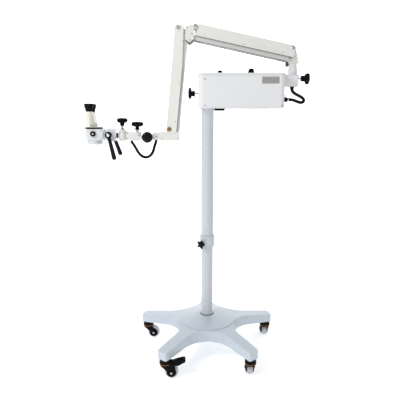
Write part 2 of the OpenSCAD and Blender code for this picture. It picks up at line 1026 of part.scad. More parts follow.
// magnification drum on its shaft with a knob on each side
module mag_knob() {
    color(black)
        difference() {
            union() {
                rod_y([scope_x, 1131], 18, -30.5, 30.5);
                rod_y([scope_x, 1131], 5, -44, 44);
                rod_y([scope_x, 1131], 12.5, -46, -36 - gap);
                rod_y([scope_x, 1131], 12.5, 36 + gap, 46);
            }
            for (y = [-12, 12])
                rod_z(scope_x, y, 7, 1100, 1154);
        }
}

module objective_ring() {
    color(case_grey)
        translate([scope_x, 0, 1078])
            rotate_extrude()
                polygon([[29, 0], [33, 0], [36.5, 5], [36.5, 22.7], [29, 22.7]]);
}

module objective_lens() {
    color(glass)
        rod_z(scope_x, 0, 26, 1086, 1092);
}

// mounting plate, neck, prism housing and the two tubes
module binocular() {
    color(cream)
        difference() {
            union() {
                intersection() {
                    across(-38, 38)
                        polygon([[-594, 1153.02], [-513, 1153.02], [-513, 1163.5], [-594, 1167]]);
                    translate([0, 0, 1150])
                        linear_extrude(20)
                            round_rect(-594, -513, -37, 37, 25);
                }
                rod_z(scope_x - 4, 0, 20, 1160, 1180);
                across(-eye_y + 2, eye_y + 6)
                    polygon([[eye_x - 14, 1172], [-545, 1169], [-547, 1216], [-556, 1234], [eye_x - 14, 1234]]);
                for (y = [-eye_y, eye_y])
                    rod_z(eye_x, y, 18, 1174, 1235.5);
            }
            for (y = [-eye_y, eye_y])
                rod_z(eye_x, y, 14 + run, 1208, 1236);
            for (y = [-12, 12])
                rod_z(scope_x - 2, y, 8, 1152, 1190);
        }
}

// eyepiece tube with its flared rubber cup
module eyepiece(y) {
    color(black)
        translate([eye_x, y, 0])
            rotate_extrude()
                polygon([[0, 1212], [14, 1212], [14, 1236 + gap], [15.5, 1236 + gap], [15.5, 1240], [21.5, 1258],
                    [21.5, 1273], [18, 1273], [13, 1256], [0, 1256]]);
}

module eyepiece_near() {
    eyepiece(-eye_y);
}

module eyepiece_far() {
    eyepiece(eye_y);
}

// ---- drawing ----

base_casting();
lower_tube();
upper_tube();
clamp_collar();
column_knob();
fork(0, true);  // fork_front_left
fork(1, true);  // fork_front_right
fork(2, false);  // fork_left
fork(3, false);  // fork_right
fork(4, false);  // fork_back
wheel(0);  // wheel_front_left
wheel(1);  // wheel_front_right
wheel(2);  // wheel_left
wheel(3);  // wheel_right
wheel(4);  // wheel_back
pedal(0);  // pedal_left
pedal(1);  // pedal_right
lamp_case();
case_lid();
vent_grille();
side_block();
box_knob();
block_knob();
power_button();
dimmer_knob();
mains_inlet();
lamp_house();
cooling_fan();
power_supply();
guide_connector();
guide_lead();
yoke();
upper_link();
lower_link();
balance_spring();
elbow();
drop_link();
rear_link();
drop_bracket();
pitch_knob();
swivel_link();
carrier_arm();
arm_knob();
barrel();
head_knob();
tilt_ring();
tilt_housing();
front_lever();
rear_lever();
loop_cable();
scope_body();
filter_lever();
mag_knob();
objective_ring();
objective_lens();
binocular();
eyepiece_near();
eyepiece_far();
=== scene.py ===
# %% [markdown]
# # A microscope on a rolling floor stand
# A binocular microscope hangs from two sprung arms, on a post that turns in a lamp box on a
# sliding column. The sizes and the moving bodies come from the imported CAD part, the frame.
# This file dresses that frame: each CAD node gets rounded edges, fittings and a finish.

# %% Load the frame
import json
import math

import bmesh
import bpy
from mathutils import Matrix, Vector

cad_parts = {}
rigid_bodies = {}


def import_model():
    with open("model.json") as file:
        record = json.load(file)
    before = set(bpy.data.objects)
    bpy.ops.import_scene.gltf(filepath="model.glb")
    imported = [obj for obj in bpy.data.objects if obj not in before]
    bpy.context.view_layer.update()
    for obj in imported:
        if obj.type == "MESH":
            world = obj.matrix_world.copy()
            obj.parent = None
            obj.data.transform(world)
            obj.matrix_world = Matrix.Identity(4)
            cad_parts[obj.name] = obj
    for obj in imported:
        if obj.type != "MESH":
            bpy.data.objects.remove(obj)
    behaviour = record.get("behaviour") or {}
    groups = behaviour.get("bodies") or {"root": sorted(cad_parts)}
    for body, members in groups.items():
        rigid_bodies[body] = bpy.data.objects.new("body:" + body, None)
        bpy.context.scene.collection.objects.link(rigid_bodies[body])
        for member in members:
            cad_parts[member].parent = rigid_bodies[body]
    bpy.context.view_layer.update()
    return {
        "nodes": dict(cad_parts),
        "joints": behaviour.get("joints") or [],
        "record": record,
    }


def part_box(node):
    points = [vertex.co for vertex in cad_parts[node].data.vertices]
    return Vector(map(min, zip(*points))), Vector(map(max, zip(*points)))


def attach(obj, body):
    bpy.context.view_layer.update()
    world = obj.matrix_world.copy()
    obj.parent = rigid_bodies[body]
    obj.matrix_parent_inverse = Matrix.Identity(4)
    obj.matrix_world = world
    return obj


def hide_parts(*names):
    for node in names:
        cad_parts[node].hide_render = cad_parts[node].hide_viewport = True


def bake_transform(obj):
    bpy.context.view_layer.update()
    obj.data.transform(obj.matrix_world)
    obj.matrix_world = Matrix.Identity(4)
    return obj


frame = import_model()
BODY_OF = {n: body for body, nodes in frame["record"]["behaviour"]["bodies"].items() for n in nodes}
JOINTS = {joint["name"]: joint for joint in frame["joints"]}


def joint_at(name):
    return Vector(JOINTS[name]["pos_m"])


# %% [markdown]
# ## Camera
# The camera stands two metres in front of the stand, a little left of the column and at chest
# height, and looks slightly down. A normal lens keeps the arms and the base in proportion.

# %% Camera
camera = bpy.data.objects.new("camera", bpy.data.cameras.new("camera"))
camera.data.lens = 37.8
camera.data.sensor_width = 36
camera.location = (-0.0369, -2.080, 1.195)
camera.rotation_euler = (math.radians(79.26), 0, 0)
bpy.context.scene.collection.objects.link(camera)
bpy.context.scene.camera = camera
print("camera at", tuple(camera.location))

# %% [markdown]
# ## Cables
# Two short black cables show. One leaves the socket under the arm post, makes a small loop and
# goes back into the box. The other loops under the joint that holds the microscope, so that it
# has slack when the joint pitches. Each is a tube swept along a smooth line through the route
# of the CAD cable. A sweep in one plane can't twist, so every ring of points stays square to
# the line.

# %% Sweep a tube along a route
def smooth_line(points, rounds=3):
    """Corner cutting: each round replaces a corner by two points nearer to the line's middle."""
    line = [Vector(p) for p in points]
    for _ in range(rounds):
        cut = [line[0]]
        for a, b in zip(line, line[1:]):
            cut += [a.lerp(b, 0.25), a.lerp(b, 0.75)]
        line = cut + [line[-1]]
    return line


def tube(name, line, radius, sides=20):
    """A closed tube along a line in an X-Z plane."""
    bm = bmesh.new()
    rings = []
    for i, p in enumerate(line):
        step = (line[min(i + 1, len(line) - 1)] - line[max(i - 1, 0)]).normalized()
        side = Vector((-step.z, 0, step.x))
        turn = [2 * math.pi * k / sides for k in range(sides)]
        rings.append([bm.verts.new(p + radius * (math.cos(t) * side + math.sin(t) * Vector((0, 1,
            0)))) for t in turn])
    for one, two in zip(rings, rings[1:]):
        for k in range(sides):
            bm.faces.new((one[k], one[k - 1], two[k - 1], two[k]))
    bm.faces.new(rings[0])
    bm.faces.new(reversed(rings[-1]))
    return finish_mesh(name, bm)


def finish_mesh(name, bm, smooth=True):
    """Turns a bmesh into a linked object with outward faces."""
    bmesh.ops.recalc_face_normals(bm, faces=bm.faces)
    mesh = bpy.data.meshes.new(name)
    bm.to_mesh(mesh)
    bm.free()
    if smooth:
        mesh.shade_smooth()
    thing = bpy.data.objects.new(name, mesh)
    bpy.context.scene.collection.objects.link(thing)
    return thing


def line_length(line):
    return sum((b - a).length for a, b in zip(line, line[1:]))


# %% The two cables
GUIDE_R, LOOP_R = 0.0074, 0.0068
guide_line = smooth_line([
    (0.404, 0, 1.356), (0.404, 0, 1.345), (0.406, 0, 1.334), (0.414, 0, 1.325),
    (0.425, 0, 1.318), (0.437, 0, 1.312), (0.449, 0, 1.306), (0.459, 0, 1.299),
    (0.464, 0, 1.291), (0.462, 0, 1.283), (0.454, 0, 1.279), (0.443, 0, 1.280),
    (0.431, 0, 1.284), (0.419, 0, 1.289), (0.408, 0, 1.292), (0.396, 0, 1.293), (0.386, 0, 1.293)], 2)
loop_line = smooth_line([
    (-0.2515, 0, 1.1003), (-0.253, 0, 1.090), (-0.258, 0, 1.078), (-0.262, 0, 1.064),
    (-0.266, 0, 1.050), (-0.272, 0, 1.036), (-0.281, 0, 1.025), (-0.293, 0, 1.017),
    (-0.307, 0, 1.015), (-0.320, 0, 1.019), (-0.332, 0, 1.028), (-0.342, 0, 1.041),
    (-0.350, 0, 1.055), (-0.357, 0, 1.069), (-0.364, 0, 1.080), (-0.371, 0, 1.088), (-0.373, 0, 1.0964)], 2)
guide_cable = tube("guide_cable", guide_line, GUIDE_R)
loop_cable = tube("supply_loop", loop_line, LOOP_R)
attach(guide_cable, "box")
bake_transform(loop_cable)
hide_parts("guide_lead")
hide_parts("loop_cable")
round(line_length(guide_line), 3)
round(line_length(loop_line), 3)
print("cables", round(line_length(guide_line), 3), round(line_length(loop_line), 3), "m")

# %% [markdown]
# ## Values and finishes
# A finish is a node tree. Written as arithmetic it reads like a recipe: a wire is one value in
# the tree, and `wire * 0.5 + other` adds the Math nodes. Any other node comes from one method.
# Object coordinates are used throughout, because each piece keeps its place in its mesh.

# %% Wires and nets
class Wire:
    """One value in a node tree."""

    def __init__(self, net, socket):
        self.net = net
        self.socket = socket

    def _math(self, operation, a, b):
        return self.net.node("ShaderNodeMath", {"operation": operation}, {0: a, 1: b})

    def __add__(self, other):
        return self._math("ADD", self, other)

    def __mul__(self, other):
        return self._math("MULTIPLY", self, other)

    def __sub__(self, other):
        return self._math("SUBTRACT", self, other)

    def __rsub__(self, other):
        return self._math("SUBTRACT", other, self)

    __radd__ = __add__
    __rmul__ = __mul__


class Net:
    """A node tree that is built one node at a time."""

    def __init__(self, tree):
        self.tree = tree

    def node(self, kind, settings=None, sockets=None, out=0):
        """Adds a node: its settings first, then the values or wires of its sockets."""
        made = self.tree.nodes.new(kind)
        for key, value in (settings or {}).items():
            setattr(made, key, value)
        for key, value in (sockets or {}).items():
            if isinstance(value, Wire):
                self.tree.links.new(value.socket, made.inputs[key])
            else:
                made.inputs[key].default_value = value
        return Wire(self, made.outputs[out]) if made.outputs else made


def rgba(colour):
    return (*colour, 1)


# %% Patterns that the finishes share
class Finish(Net):
    """A material with one Principled surface."""

    def __init__(self, name, colour, roughness, metallic=0.0):
        self.material = bpy.data.materials.new(name)
        self.material.use_nodes = True
        super().__init__(self.material.node_tree)
        self.tree.nodes.clear()
        self.shader = self.tree.nodes.new("ShaderNodeBsdfPrincipled")
        end = self.tree.nodes.new("ShaderNodeOutputMaterial")
        self.tree.links.new(self.shader.outputs[0], end.inputs[0])
        self.colour = colour
        self.set("Base Color", rgba(colour))
        self.set("Roughness", roughness)
        self.set("Metallic", metallic)
        self.place = self.node("ShaderNodeTexCoord", out=3)

    def set(self, socket, value):
        if isinstance(value, Wire):
            self.tree.links.new(value.socket, self.shader.inputs[socket])
        else:
            self.shader.inputs[socket].default_value = value

    def stretched(self, scale, centre=(0, 0, 0)):
        """Object coordinates about a centre, scaled along each axis."""
        return self.node("ShaderNodeMapping", {"vector_type": "POINT"},
            {"Vector": self.place, "Scale": scale,
            "Location": tuple(-c * s for c, s in zip(centre, scale))})

    def noise(self, scale, detail=3.0, at=None):
        return self.node("ShaderNodeTexNoise", None,
            {"Vector": at or self.place, "Scale": scale, "Detail": detail})

    def specks(self, scale, at=None):
        return self.node("ShaderNodeTexVoronoi", None, {"Vector": at or self.place, "Scale": scale})

    def band(self, value, low, high):
        """0 below low, 1 above high, smooth between them."""
        return self.node("ShaderNodeMapRange", {"interpolation_type": "SMOOTHSTEP"},
            {"Value": value, "From Min": low, "From Max": high})

    def mix(self, share, one, two):
        one, two = (c if isinstance(c, Wire) else rgba(c) for c in (one, two))
        return self.node("ShaderNodeMix", {"data_type": "RGBA"}, {0: share, 6: one, 7: two}, out=2)

    def bump(self, height, distance, strength=1.0):
        self.set("Normal", self.node("ShaderNodeBump", None,
            {"Height": height, "Distance": distance, "Strength": strength}))


def shade(colour, k):
    """A colour made lighter (k over 1) or darker."""
    return tuple(min(1.0, c * k) for c in colour)


# %% [markdown]
# ## Enamel
# Castings, tubes and covers are sprayed with a smooth enamel. It isn't perfectly flat: the
# film has a faint orange peel, and hand contact leaves it slightly duller in soft patches.
# Three sizes of noise give these, and none of them is strong enough to read as a pattern.

# %% Enamel and powder coat
def enamel(name, colour, roughness=0.32, peel=0.00012, coat=0.25):
    f = Finish(name, colour, roughness)
    cloud = f.noise(5.0, 4.0)
    wear = f.band(f.noise(23.0, 6.0), 0.52, 0.72)
    f.set("Base Color", f.mix(cloud * 0.6, shade(colour, 0.965), shade(colour, 1.02)))
    f.set("Roughness", cloud * 0.10 + wear * 0.08 + (roughness - 0.07))
    f.bump(f.noise(420.0, 1.0) + f.noise(60.0, 2.0) * 1.4, peel)
    f.set("Coat Weight", coat)
    f.set("Coat Roughness", 0.12)
    return f.material


def powder_coat(name, colour, roughness=0.48, grain=900.0, depth=0.00022):
    f = Finish(name, colour, roughness)
    cloud = f.noise(7.0, 5.0)
    pimple = f.specks(grain)
    f.set("Base Color", f.mix(cloud, shade(colour, 0.95), shade(colour, 1.02)))
    f.set("Roughness", pimple * 0.2 + cloud * 0.08 + (roughness - 0.1))
    f.bump(f.noise(grain, 2.0) - pimple * 0.5, depth)
    return f.material


base_enamel = enamel("base_enamel", (0.55, 0.62, 0.70), 0.34)
column_enamel = enamel("column_enamel", (0.56, 0.59, 0.65), 0.26, peel=0.00005, coat=0.3)
arm_enamel = enamel("arm_enamel", (0.76, 0.76, 0.735), 0.30)
cover_enamel = enamel("cover_enamel", (0.78, 0.775, 0.74), 0.34)
link_enamel = enamel("link_enamel", (0.62, 0.62, 0.62), 0.34)
housing_enamel = enamel("housing_enamel", (0.74, 0.77, 0.80), 0.26)
scope_enamel = enamel("scope_enamel", (0.70, 0.72, 0.74), 0.26)
cream_enamel = enamel("cream_enamel", (0.80, 0.78, 0.70), 0.30)
case_coat = powder_coat("case_coat", (0.76, 0.77, 0.79))
vent_grey = powder_coat("vent_grey", (0.40, 0.40, 0.385), 0.5)
lid_coat = powder_coat("lid_coat", (0.70, 0.71, 0.715), 0.42)
print("painted finishes", len(bpy.data.materials))

# %% [markdown]
# ## Black parts
# Knobs are moulded with a fine grain that skin wears smooth on the high spots. The eyecups and
# cable jackets are matt rubber with bloom, a grey haze. The large tilt knob is polished.

# %% Plastics and rubbers
def moulded(name, colour, roughness=0.42, grain=1500.0, depth=0.00006, dust=0.12):
    f = Finish(name, colour, roughness)
    cloud = f.noise(30.0, 5.0)
    haze = f.band(f.noise(11.0, 6.0), 0.45, 0.8)
    f.set("Base Color", f.mix(haze * dust, colour, (0.05, 0.05, 0.055)))
    f.set("Specular IOR Level", 0.06)
    f.set("Roughness", cloud * 0.14 + (roughness - 0.07))
    f.bump(f.noise(grain, 2.0), depth)
    return f.material


def polished_black(name, colour):
    f = Finish(name, colour, 0.12)
    rub = f.band(f.noise(160.0, 8.0, f.stretched((1, 6, 1))), 0.58, 0.7)
    f.set("Roughness", rub * 0.16 + 0.10)
    f.set("Coat Weight", 0.05)
    f.set("Specular IOR Level", 0.14)
    f.bump(f.noise(700.0), 0.00002)
    return f.material


def tread_rubber(name, colour):
    f = Finish(name, colour, 0.7)
    scuff = f.band(f.noise(90.0, 8.0, f.stretched((1, 1, 2.4))), 0.52, 0.7)
    grit = f.specks(260.0)
    f.set("Base Color", f.mix(scuff * 0.55, colour, shade(colour, 0.62)))
    f.set("Roughness", scuff * 0.15 + 0.62)
    f.bump(grit * 0.6 + f.noise(700.0, 3.0), 0.00025)
    return f.material


knob_black = moulded("knob_black", (0.003, 0.003, 0.0035))
knob_gloss = polished_black("knob_gloss", (0.005, 0.005, 0.006))
lever_navy = polished_black("lever_navy", (0.005, 0.007, 0.014))
caster_black = moulded("caster_black", (0.004, 0.004, 0.005), 0.5, dust=0.16)
eyecup_rubber = moulded("eyecup_rubber", (0.008, 0.008, 0.009), 0.62, 800.0, 0.0001, 0.12)
jacket = moulded("cable_jacket", (0.006, 0.006, 0.007), 0.5, 1100.0, 0.00005, 0.1)
drum_black = moulded("drum_black", (0.012, 0.012, 0.015), 0.34, 1900.0, 0.00003, 0.05)
fan_plastic = moulded("fan_plastic", (0.03, 0.03, 0.03), 0.45)
tyre_grey = tread_rubber("tyre_grey", (0.50, 0.52, 0.55))
hub_amber = moulded("hub_amber", (0.34, 0.15, 0.04), 0.45, dust=0.25)
# A dark brown that stands for shadow: the strips under the arm covers and links, and the small tab by the
# post, are painted shade in it.
tab_brown = moulded("tab_brown", (0.11, 0.07, 0.04), 0.4)

# %% [markdown]
# ## Bare metals
# Turned parts carry fine rings from the lathe and brushed ones carry straight lines. Both come
# from noise that is stretched a lot in one direction, fed to roughness and a very low bump.

# %% Metals and glass
def bare_metal(name, colour, roughness, grain=(1, 1, 40), scale=90.0, depth=0.00003):
    f = Finish(name, colour, roughness, 1.0)
    lines = f.noise(scale, 5.0, f.stretched(grain))
    haze = f.noise(14.0, 4.0)
    f.set("Base Color", f.mix(haze, shade(colour, 0.9), shade(colour, 1.04)))
    f.set("Roughness", lines * 0.18 + haze * 0.1 + (roughness - 0.13))
    f.bump(lines, depth)
    return f.material


steel = bare_metal("turned_steel", (0.60, 0.61, 0.63), 0.27)
chrome = bare_metal("bright_cap", (0.75, 0.76, 0.78), 0.14, (1, 1, 1), 40.0, 0.00001)
bronze = bare_metal("bronze_cap", (0.33, 0.20, 0.11), 0.3, (1, 1, 1), 60.0)
brass = bare_metal("brass_screw", (0.55, 0.38, 0.16), 0.28)
sheet_aluminium = bare_metal("sheet_aluminium", (0.62, 0.63, 0.65), 0.38, (60, 1, 1), 40.0)
dark_steel = bare_metal("dark_screw", (0.20, 0.20, 0.21), 0.38)


def coated_glass(name):
    f = Finish(name, (0.10, 0.13, 0.20), 0.04)
    tint = f.noise(12.0, 2.0)
    f.set("Base Color", f.mix(tint, (0.05, 0.07, 0.16), (0.12, 0.09, 0.20)))
    f.set("Coat Weight", 1.0)
    f.set("Coat Tint", (0.55, 0.65, 1.0, 1))
    return f.material


def board_green(name):
    f = Finish(name, (0.02, 0.12, 0.06), 0.4)
    tracks = f.band(f.specks(150.0, f.stretched((1, 3, 1))), 0.3, 0.34)
    f.set("Base Color", f.mix(tracks, (0.015, 0.09, 0.045), (0.03, 0.18, 0.09)))
    return f.material


lens_glass = coated_glass("lens_glass")
board = board_green("circuit_board")
guide_cable.data.materials.append(jacket)
loop_cable.data.materials.append(jacket)
print("finishes", len(bpy.data.materials))

# %% [markdown]
# ## Rounded edges
# A cast, moulded or folded part has no knife edges, and the thin highlight along a rounded edge
# is what makes it look real. The CAD nodes have sharp edges, so each look starts as a copy of
# its node: doubles are merged, flat triangles are joined to whole faces, and a Bevel modifier
# rounds what is left. The modifier is applied at once, so that each piece is a plain mesh.

# %% Dress a CAD node
def plain(thing):
    """Replaces a live object by the plain mesh of its evaluated state."""
    seen = thing.evaluated_get(bpy.context.evaluated_depsgraph_get())
    mesh = bpy.data.meshes.new_from_object(seen)
    thing.modifiers.clear()
    thing.data = mesh
    return thing


def soften(thing, width, segments=3, angle=30):
    rounding = thing.modifiers.new("edges", "BEVEL")
    rounding.width = width
    rounding.segments = segments
    rounding.limit_method = "ANGLE"
    rounding.angle_limit = math.radians(angle)
    flats = thing.modifiers.new("flats", "WEIGHTED_NORMAL")
    flats.keep_sharp = True
    plain(thing)
    thing.data.set_sharp_from_angle(angle=math.radians(38))
    return thing


def keep(thing, body, finish, *nodes):
    """Gives a piece its finish and its body, and hides the CAD nodes that it stands for."""
    thing.data.materials.clear()
    thing.data.materials.append(finish)
    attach(thing, body)
    if nodes:
        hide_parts(*nodes)
    return thing


def dress(node, finish, edge=0.0012, segments=3):
    bm = bmesh.new()
    bm.from_mesh(frame["nodes"][node].data)
    bmesh.ops.remove_doubles(bm, verts=bm.verts, dist=3e-6)
    bmesh.ops.dissolve_limit(bm, angle_limit=math.radians(0.6), verts=bm.verts, edges=bm.edges)
    piece = finish_mesh(node + ".look", bm)
    soften(piece, edge, segments)
    return keep(piece, BODY_OF[node], finish, node)


# %% [markdown]
# ## Turned shapes
# Caps, hubs, eyepieces and tyres are turned or moulded round an axis, so they are made by
# turning a profile. The corners of the profile are rounded before it is turned. A knob with
# lobes is the same turning with a radius that swings in and out as it goes round.

# %% Turn a profile round an axis
def rounded(profile, radius, steps=4):
    """The same profile with each inner corner cut by a small arc."""
    line = [Vector(p) for p in profile]
    out = [line[0]]
    for a, b, c in zip(line, line[1:], line[2:]):
        reach = min(radius, (a - b).length * 0.45, (c - b).length * 0.45)
        one = b + (a - b).normalized() * reach
        two = b + (c - b).normalized() * reach
        for i in range(steps + 1):
            t = i / steps
            out.append(one * (1 - t) ** 2 + b * (2 * t * (1 - t)) + two * t ** 2)
    return out + [line[-1]]


def turned(name, profile, base, axis, corner=0.0008, steps=64, lobes=0, swing=0.0, start=0):
    """Turns (radius, height) pairs, which start and end on the axis or close on themselves."""
    turn = Vector((0, 0, 1)).rotation_difference(Vector(axis)).to_matrix()
    line = rounded(profile, corner) if corner else [Vector(p) for p in profile]
    bm = bmesh.new()
    rings = []
    for r, h in line:
        if r < 1e-6:
            rings.append([bm.verts.new(turn @ Vector((0, 0, h)) + Vector(base))])
            continue
        ring = []
        for k in range(steps):
            a = 2 * math.pi * k / steps
            wave = 1 - swing * (0.5 - 0.5 * math.cos(lobes * (a - math.radians(start)))) if lobes else 1
            ring.append(bm.verts.new(turn @ Vector((r * wave * math.cos(a), r * wave * math.sin(a),
                h)) + Vector(base)))
        rings.append(ring)
    if len(rings[0]) > 1:
        rings.append(rings[0])
    for one, two in zip(rings, rings[1:]):
        for k in range(steps):
            corners = [one[k % len(one)], one[(k + 1) % steps % len(one)], two[(k + 1) % steps % len(two)],
                two[k % len(two)]]
            corners = list(dict.fromkeys(corners))
            if len(corners) > 2:
                bm.faces.new(corners)
    piece = finish_mesh(name, bm)
    piece.data.set_sharp_from_angle(angle=math.radians(50))
    return piece


def plate(name, outline, y0, y1, edge=0.0006, segments=2):
    """An X-Z outline given thickness from y0 to y1, with rounded edges."""
    bm = bmesh.new()
    near = [bm.verts.new((x, y0, z)) for x, z in outline]
    far = [bm.verts.new((x, y1, z)) for x, z in outline]
    bm.faces.new(near)
    bm.faces.new(reversed(far))
    for i in range(len(outline)):
        bm.faces.new((near[i], far[i], far[i - 1], near[i - 1]))
    return soften(finish_mesh(name, bm), edge, segments)


# %% [markdown]
# ## Things that repeat
# Screws, slats, teeth, ribs and fins repeat by a rule, so small Geometry Nodes trees place them:
# one puts copies of a template on points that know which way they face, one makes a row of
# bars, and one makes a ring of ribs. Each tree has named inputs for its sizes. The result is
# turned into a plain mesh straight away.

# %% A Geometry Nodes tree with named inputs
SOCKETS = {"geometry": "NodeSocketGeometry", "number": "NodeSocketFloat", "count": "NodeSocketInt",
    "vector": "NodeSocketVector", "object": "NodeSocketObject", "material": "NodeSocketMaterial"}


class Grower(Net):
    """A Geometry Nodes tree that ends in Realize Instances and Set Material."""

    def __init__(self, name, inputs):
        tree = bpy.data.node_groups.new(name, "GeometryNodeTree")
        tree.is_modifier = True
        super().__init__(tree)
        tree.interface.new_socket("Geometry", in_out="OUTPUT", socket_type="NodeSocketGeometry")
        self.ids = {}
        for label, kind in {"Geometry": "geometry", **inputs, "Finish": "material"}.items():
            self.ids[label] = tree.interface.new_socket(label, in_out="INPUT",
                socket_type=SOCKETS[kind]).identifier
        self.start = tree.nodes.new("NodeGroupInput")

    def input(self, label):
        return Wire(self, self.start.outputs[label])

    def end(self, shape):
        solid = self.node("GeometryNodeRealizeInstances", None, {0: shape})
        painted = self.node("GeometryNodeSetMaterial", None,
            {"Geometry": solid, "Material": self.input("Finish")})
        self.node("NodeGroupOutput", None, {0: painted})
        return self

    def grow(self, name, finish, mesh=None, **values):
        thing = bpy.data.objects.new(name, mesh or bpy.data.meshes.new(name))
        bpy.context.scene.collection.objects.link(thing)
        live = thing.modifiers.new("grow", "NODES")
        live.node_group = self.tree
        for label, value in {**values, "Finish": finish}.items():
            live[self.ids[label.replace("_", " ")]] = value
        thing.update_tag()
        bpy.context.view_layer.update()
        return plain(thing)


def screw_tree():
    g = Grower("screws_on_points", {"Template": "object"})
    part = g.node("GeometryNodeObjectInfo", {"transform_space": "ORIGINAL"},
        {"Object": g.input("Template")}, out=4)
    facing = g.node("GeometryNodeInputNamedAttribute", {"data_type": "FLOAT_VECTOR"}, {"Name": "facing"})
    size = g.node("GeometryNodeInputNamedAttribute", {"data_type": "FLOAT"}, {"Name": "size"})
    turn = g.node("FunctionNodeAlignEulerToVector", {"axis": "Z"}, {"Vector": facing})
    put = g.node("GeometryNodeInstanceOnPoints", None,
        {"Points": g.input("Geometry"), "Instance": part, "Rotation": turn, "Scale": size})
    return g.end(put)


def bar_row_tree():
    g = Grower("row_of_bars",
        {"Count": "count", "Start": "vector", "Step": "vector", "Size": "vector", "Turn": "vector"})
    line = g.node("GeometryNodeMeshLine", None,
        {"Count": g.input("Count"), "Start Location": g.input("Start"), "Offset": g.input("Step")})
    bar = g.node("GeometryNodeMeshCube", None, {"Size": g.input("Size")})
    put = g.node("GeometryNodeInstanceOnPoints", None,
        {"Points": line, "Instance": bar, "Rotation": g.input("Turn")})
    return g.end(put)


def rib_ring_tree():
    g = Grower("ring_of_ribs",
        {"Count": "count", "Radius": "number", "Size": "vector", "Centre": "vector", "Turn": "vector",
        "Lean": "number"})
    ring = g.node("GeometryNodeMeshCircle", None,
        {"Vertices": g.input("Count"), "Radius": g.input("Radius")})
    out = g.node("GeometryNodeInputPosition")
    turn = g.node("FunctionNodeAlignEulerToVector", {"axis": "X"}, {"Vector": out})
    lean = g.node("ShaderNodeCombineXYZ", None, {0: g.input("Lean")})
    leant = g.node("FunctionNodeRotateEuler", {"space": "LOCAL"}, {"Rotation": turn, "Rotate By": lean})
    bar = g.node("GeometryNodeMeshCube", None, {"Size": g.input("Size")})
    put = g.node("GeometryNodeInstanceOnPoints", None, {"Points": ring, "Instance": bar, "Rotation": leant})
    return g.end(g.node("GeometryNodeTransform", None,
        {"Geometry": put, "Translation": g.input("Centre"), "Rotation": g.input("Turn")}))


def coil_tree():
    g = Grower("coil", {"Turns": "number", "Radius": "number", "Length": "number", "Wire": "number",
        "Centre": "vector", "Turn": "vector"})
    line = g.node("GeometryNodeCurveSpiral", None,
        {"Resolution": 24, "Rotations": g.input("Turns"), "Start Radius": g.input("Radius"),
        "End Radius": g.input("Radius"), "Height": g.input("Length")})
    wire = g.node("GeometryNodeCurvePrimitiveCircle", None, {"Resolution": 10, "Radius": g.input("Wire")})
    body = g.node("GeometryNodeCurveToMesh", None,
        {"Curve": line, "Profile Curve": wire, "Fill Caps": True})
    return g.end(g.node("GeometryNodeTransform", None,
        {"Geometry": body, "Translation": g.input("Centre"), "Rotation": g.input("Turn")}))


screws_on_points, row_of_bars, ring_of_ribs, coil = screw_tree(), bar_row_tree(), rib_ring_tree(), coil_tree()
print("trees", [t.name for t in bpy.data.node_groups])

# %% [markdown]
# A socket-head screw is a short round head with a six-sided pocket. One template is turned
# once, and every screw row is a set of points with a facing and a size.

# %% Screws
def hex_edge(a):
    """The distance of a hexagon's edge in the direction a, as a share of its corner radius."""
    return math.cos(math.pi / 6) / math.cos((a + math.pi / 6) % (math.pi / 3) - math.pi / 6)


def screw_template():
    bm = bmesh.new()
    rings = [(0.0, -0.1, 24), (1.0, -0.1, 24), (1.0, 0.28, 24), (0.86, 0.42, 24), (0.52, 0.42, 6),
        (0.52, 0.12, 6), (0.0, 0.12, 6)]
    made = []
    for r, h, sides in rings:
        if r == 0:
            made.append([bm.verts.new((0, 0, h))])
        else:
            turns = [2 * math.pi * k / 24 for k in range(24)]
            reach = [r * (hex_edge(a) if sides == 6 else 1) for a in turns]
            made.append([bm.verts.new((d * math.cos(a), d * math.sin(a), h)) for d, a in zip(reach, turns)])
    for one, two in zip(made, made[1:]):
        for k in range(24):
            corners = [one[k % len(one)], one[(k + 1) % 24 % len(one)], two[(k + 1) % 24 % len(two)],
                two[k % len(two)]]
            bm.faces.new(list(dict.fromkeys(corners)))
    template = finish_mesh("screw_template", bm, smooth=False)
    bpy.context.scene.collection.objects.unlink(template)
    return template


screw = screw_template()


def screws(name, body, finish, places):
    """places is a list of (position, facing, head radius)."""
    points = bpy.data.meshes.new(name)
    points.from_pydata([p for p, _, _ in places], [], [])
    points.attributes.new("facing", "FLOAT_VECTOR", "POINT")
    points.attributes.new("size", "FLOAT", "POINT")
    for i, (_, way, r) in enumerate(places):
        points.attributes["facing"].data[i].vector = way
        points.attributes["size"].data[i].value = r
    piece = screws_on_points.grow(name, finish, points, Template=screw)
    return keep(piece, body, finish)


NEAR, FAR, UP, LEFT, RIGHT = (0, -1, 0), (0, 1, 0), (0, 0, 1), (-1, 0, 0), (1, 0, 0)
print("screw template faces", len(screw.data.polygons))

# %% [markdown]
# ## Base and column
# The base is one iron casting with five arms. Its edges are rounded wide, as sand casting
# leaves them. A thin dark seal lies round the column's foot, and the column is two tubes that
# telescope.

# %% Base and column
dress("base_casting", base_enamel, 0.0035, 4)
dress("lower_tube", column_enamel, 0.0008)
dress("upper_tube", column_enamel, 0.0008)
dress("clamp_collar", column_enamel, 0.002)
keep(turned("foot_seal",
    [(0.0335, 0.1915), (0.0335, 0.1962), (0.0358, 0.1962), (0.0366, 0.1915), (0.0335, 0.1915)], (0, 0, 0),
    UP, 0.0004, 96), "base", drum_black)
# A thin black ring round the column at the collar's lower edge is painted shadow under the collar.
keep(turned("column_wiper",
    [(0.0287, 0.8175), (0.0287, 0.8215), (0.0277, 0.8222), (0.0272, 0.8175), (0.0287, 0.8175)],
    (0, 0, 0), UP, 0, 96), "base", knob_black)

# %% [markdown]
# ## Casters
# Each caster has a black yoke with an amber dust ring at the swivel, a grey non-marking tyre
# and a bright axle nut. The fork directions differ, as they do after a stand has been pushed
# about, so every round piece is turned about its own axle.

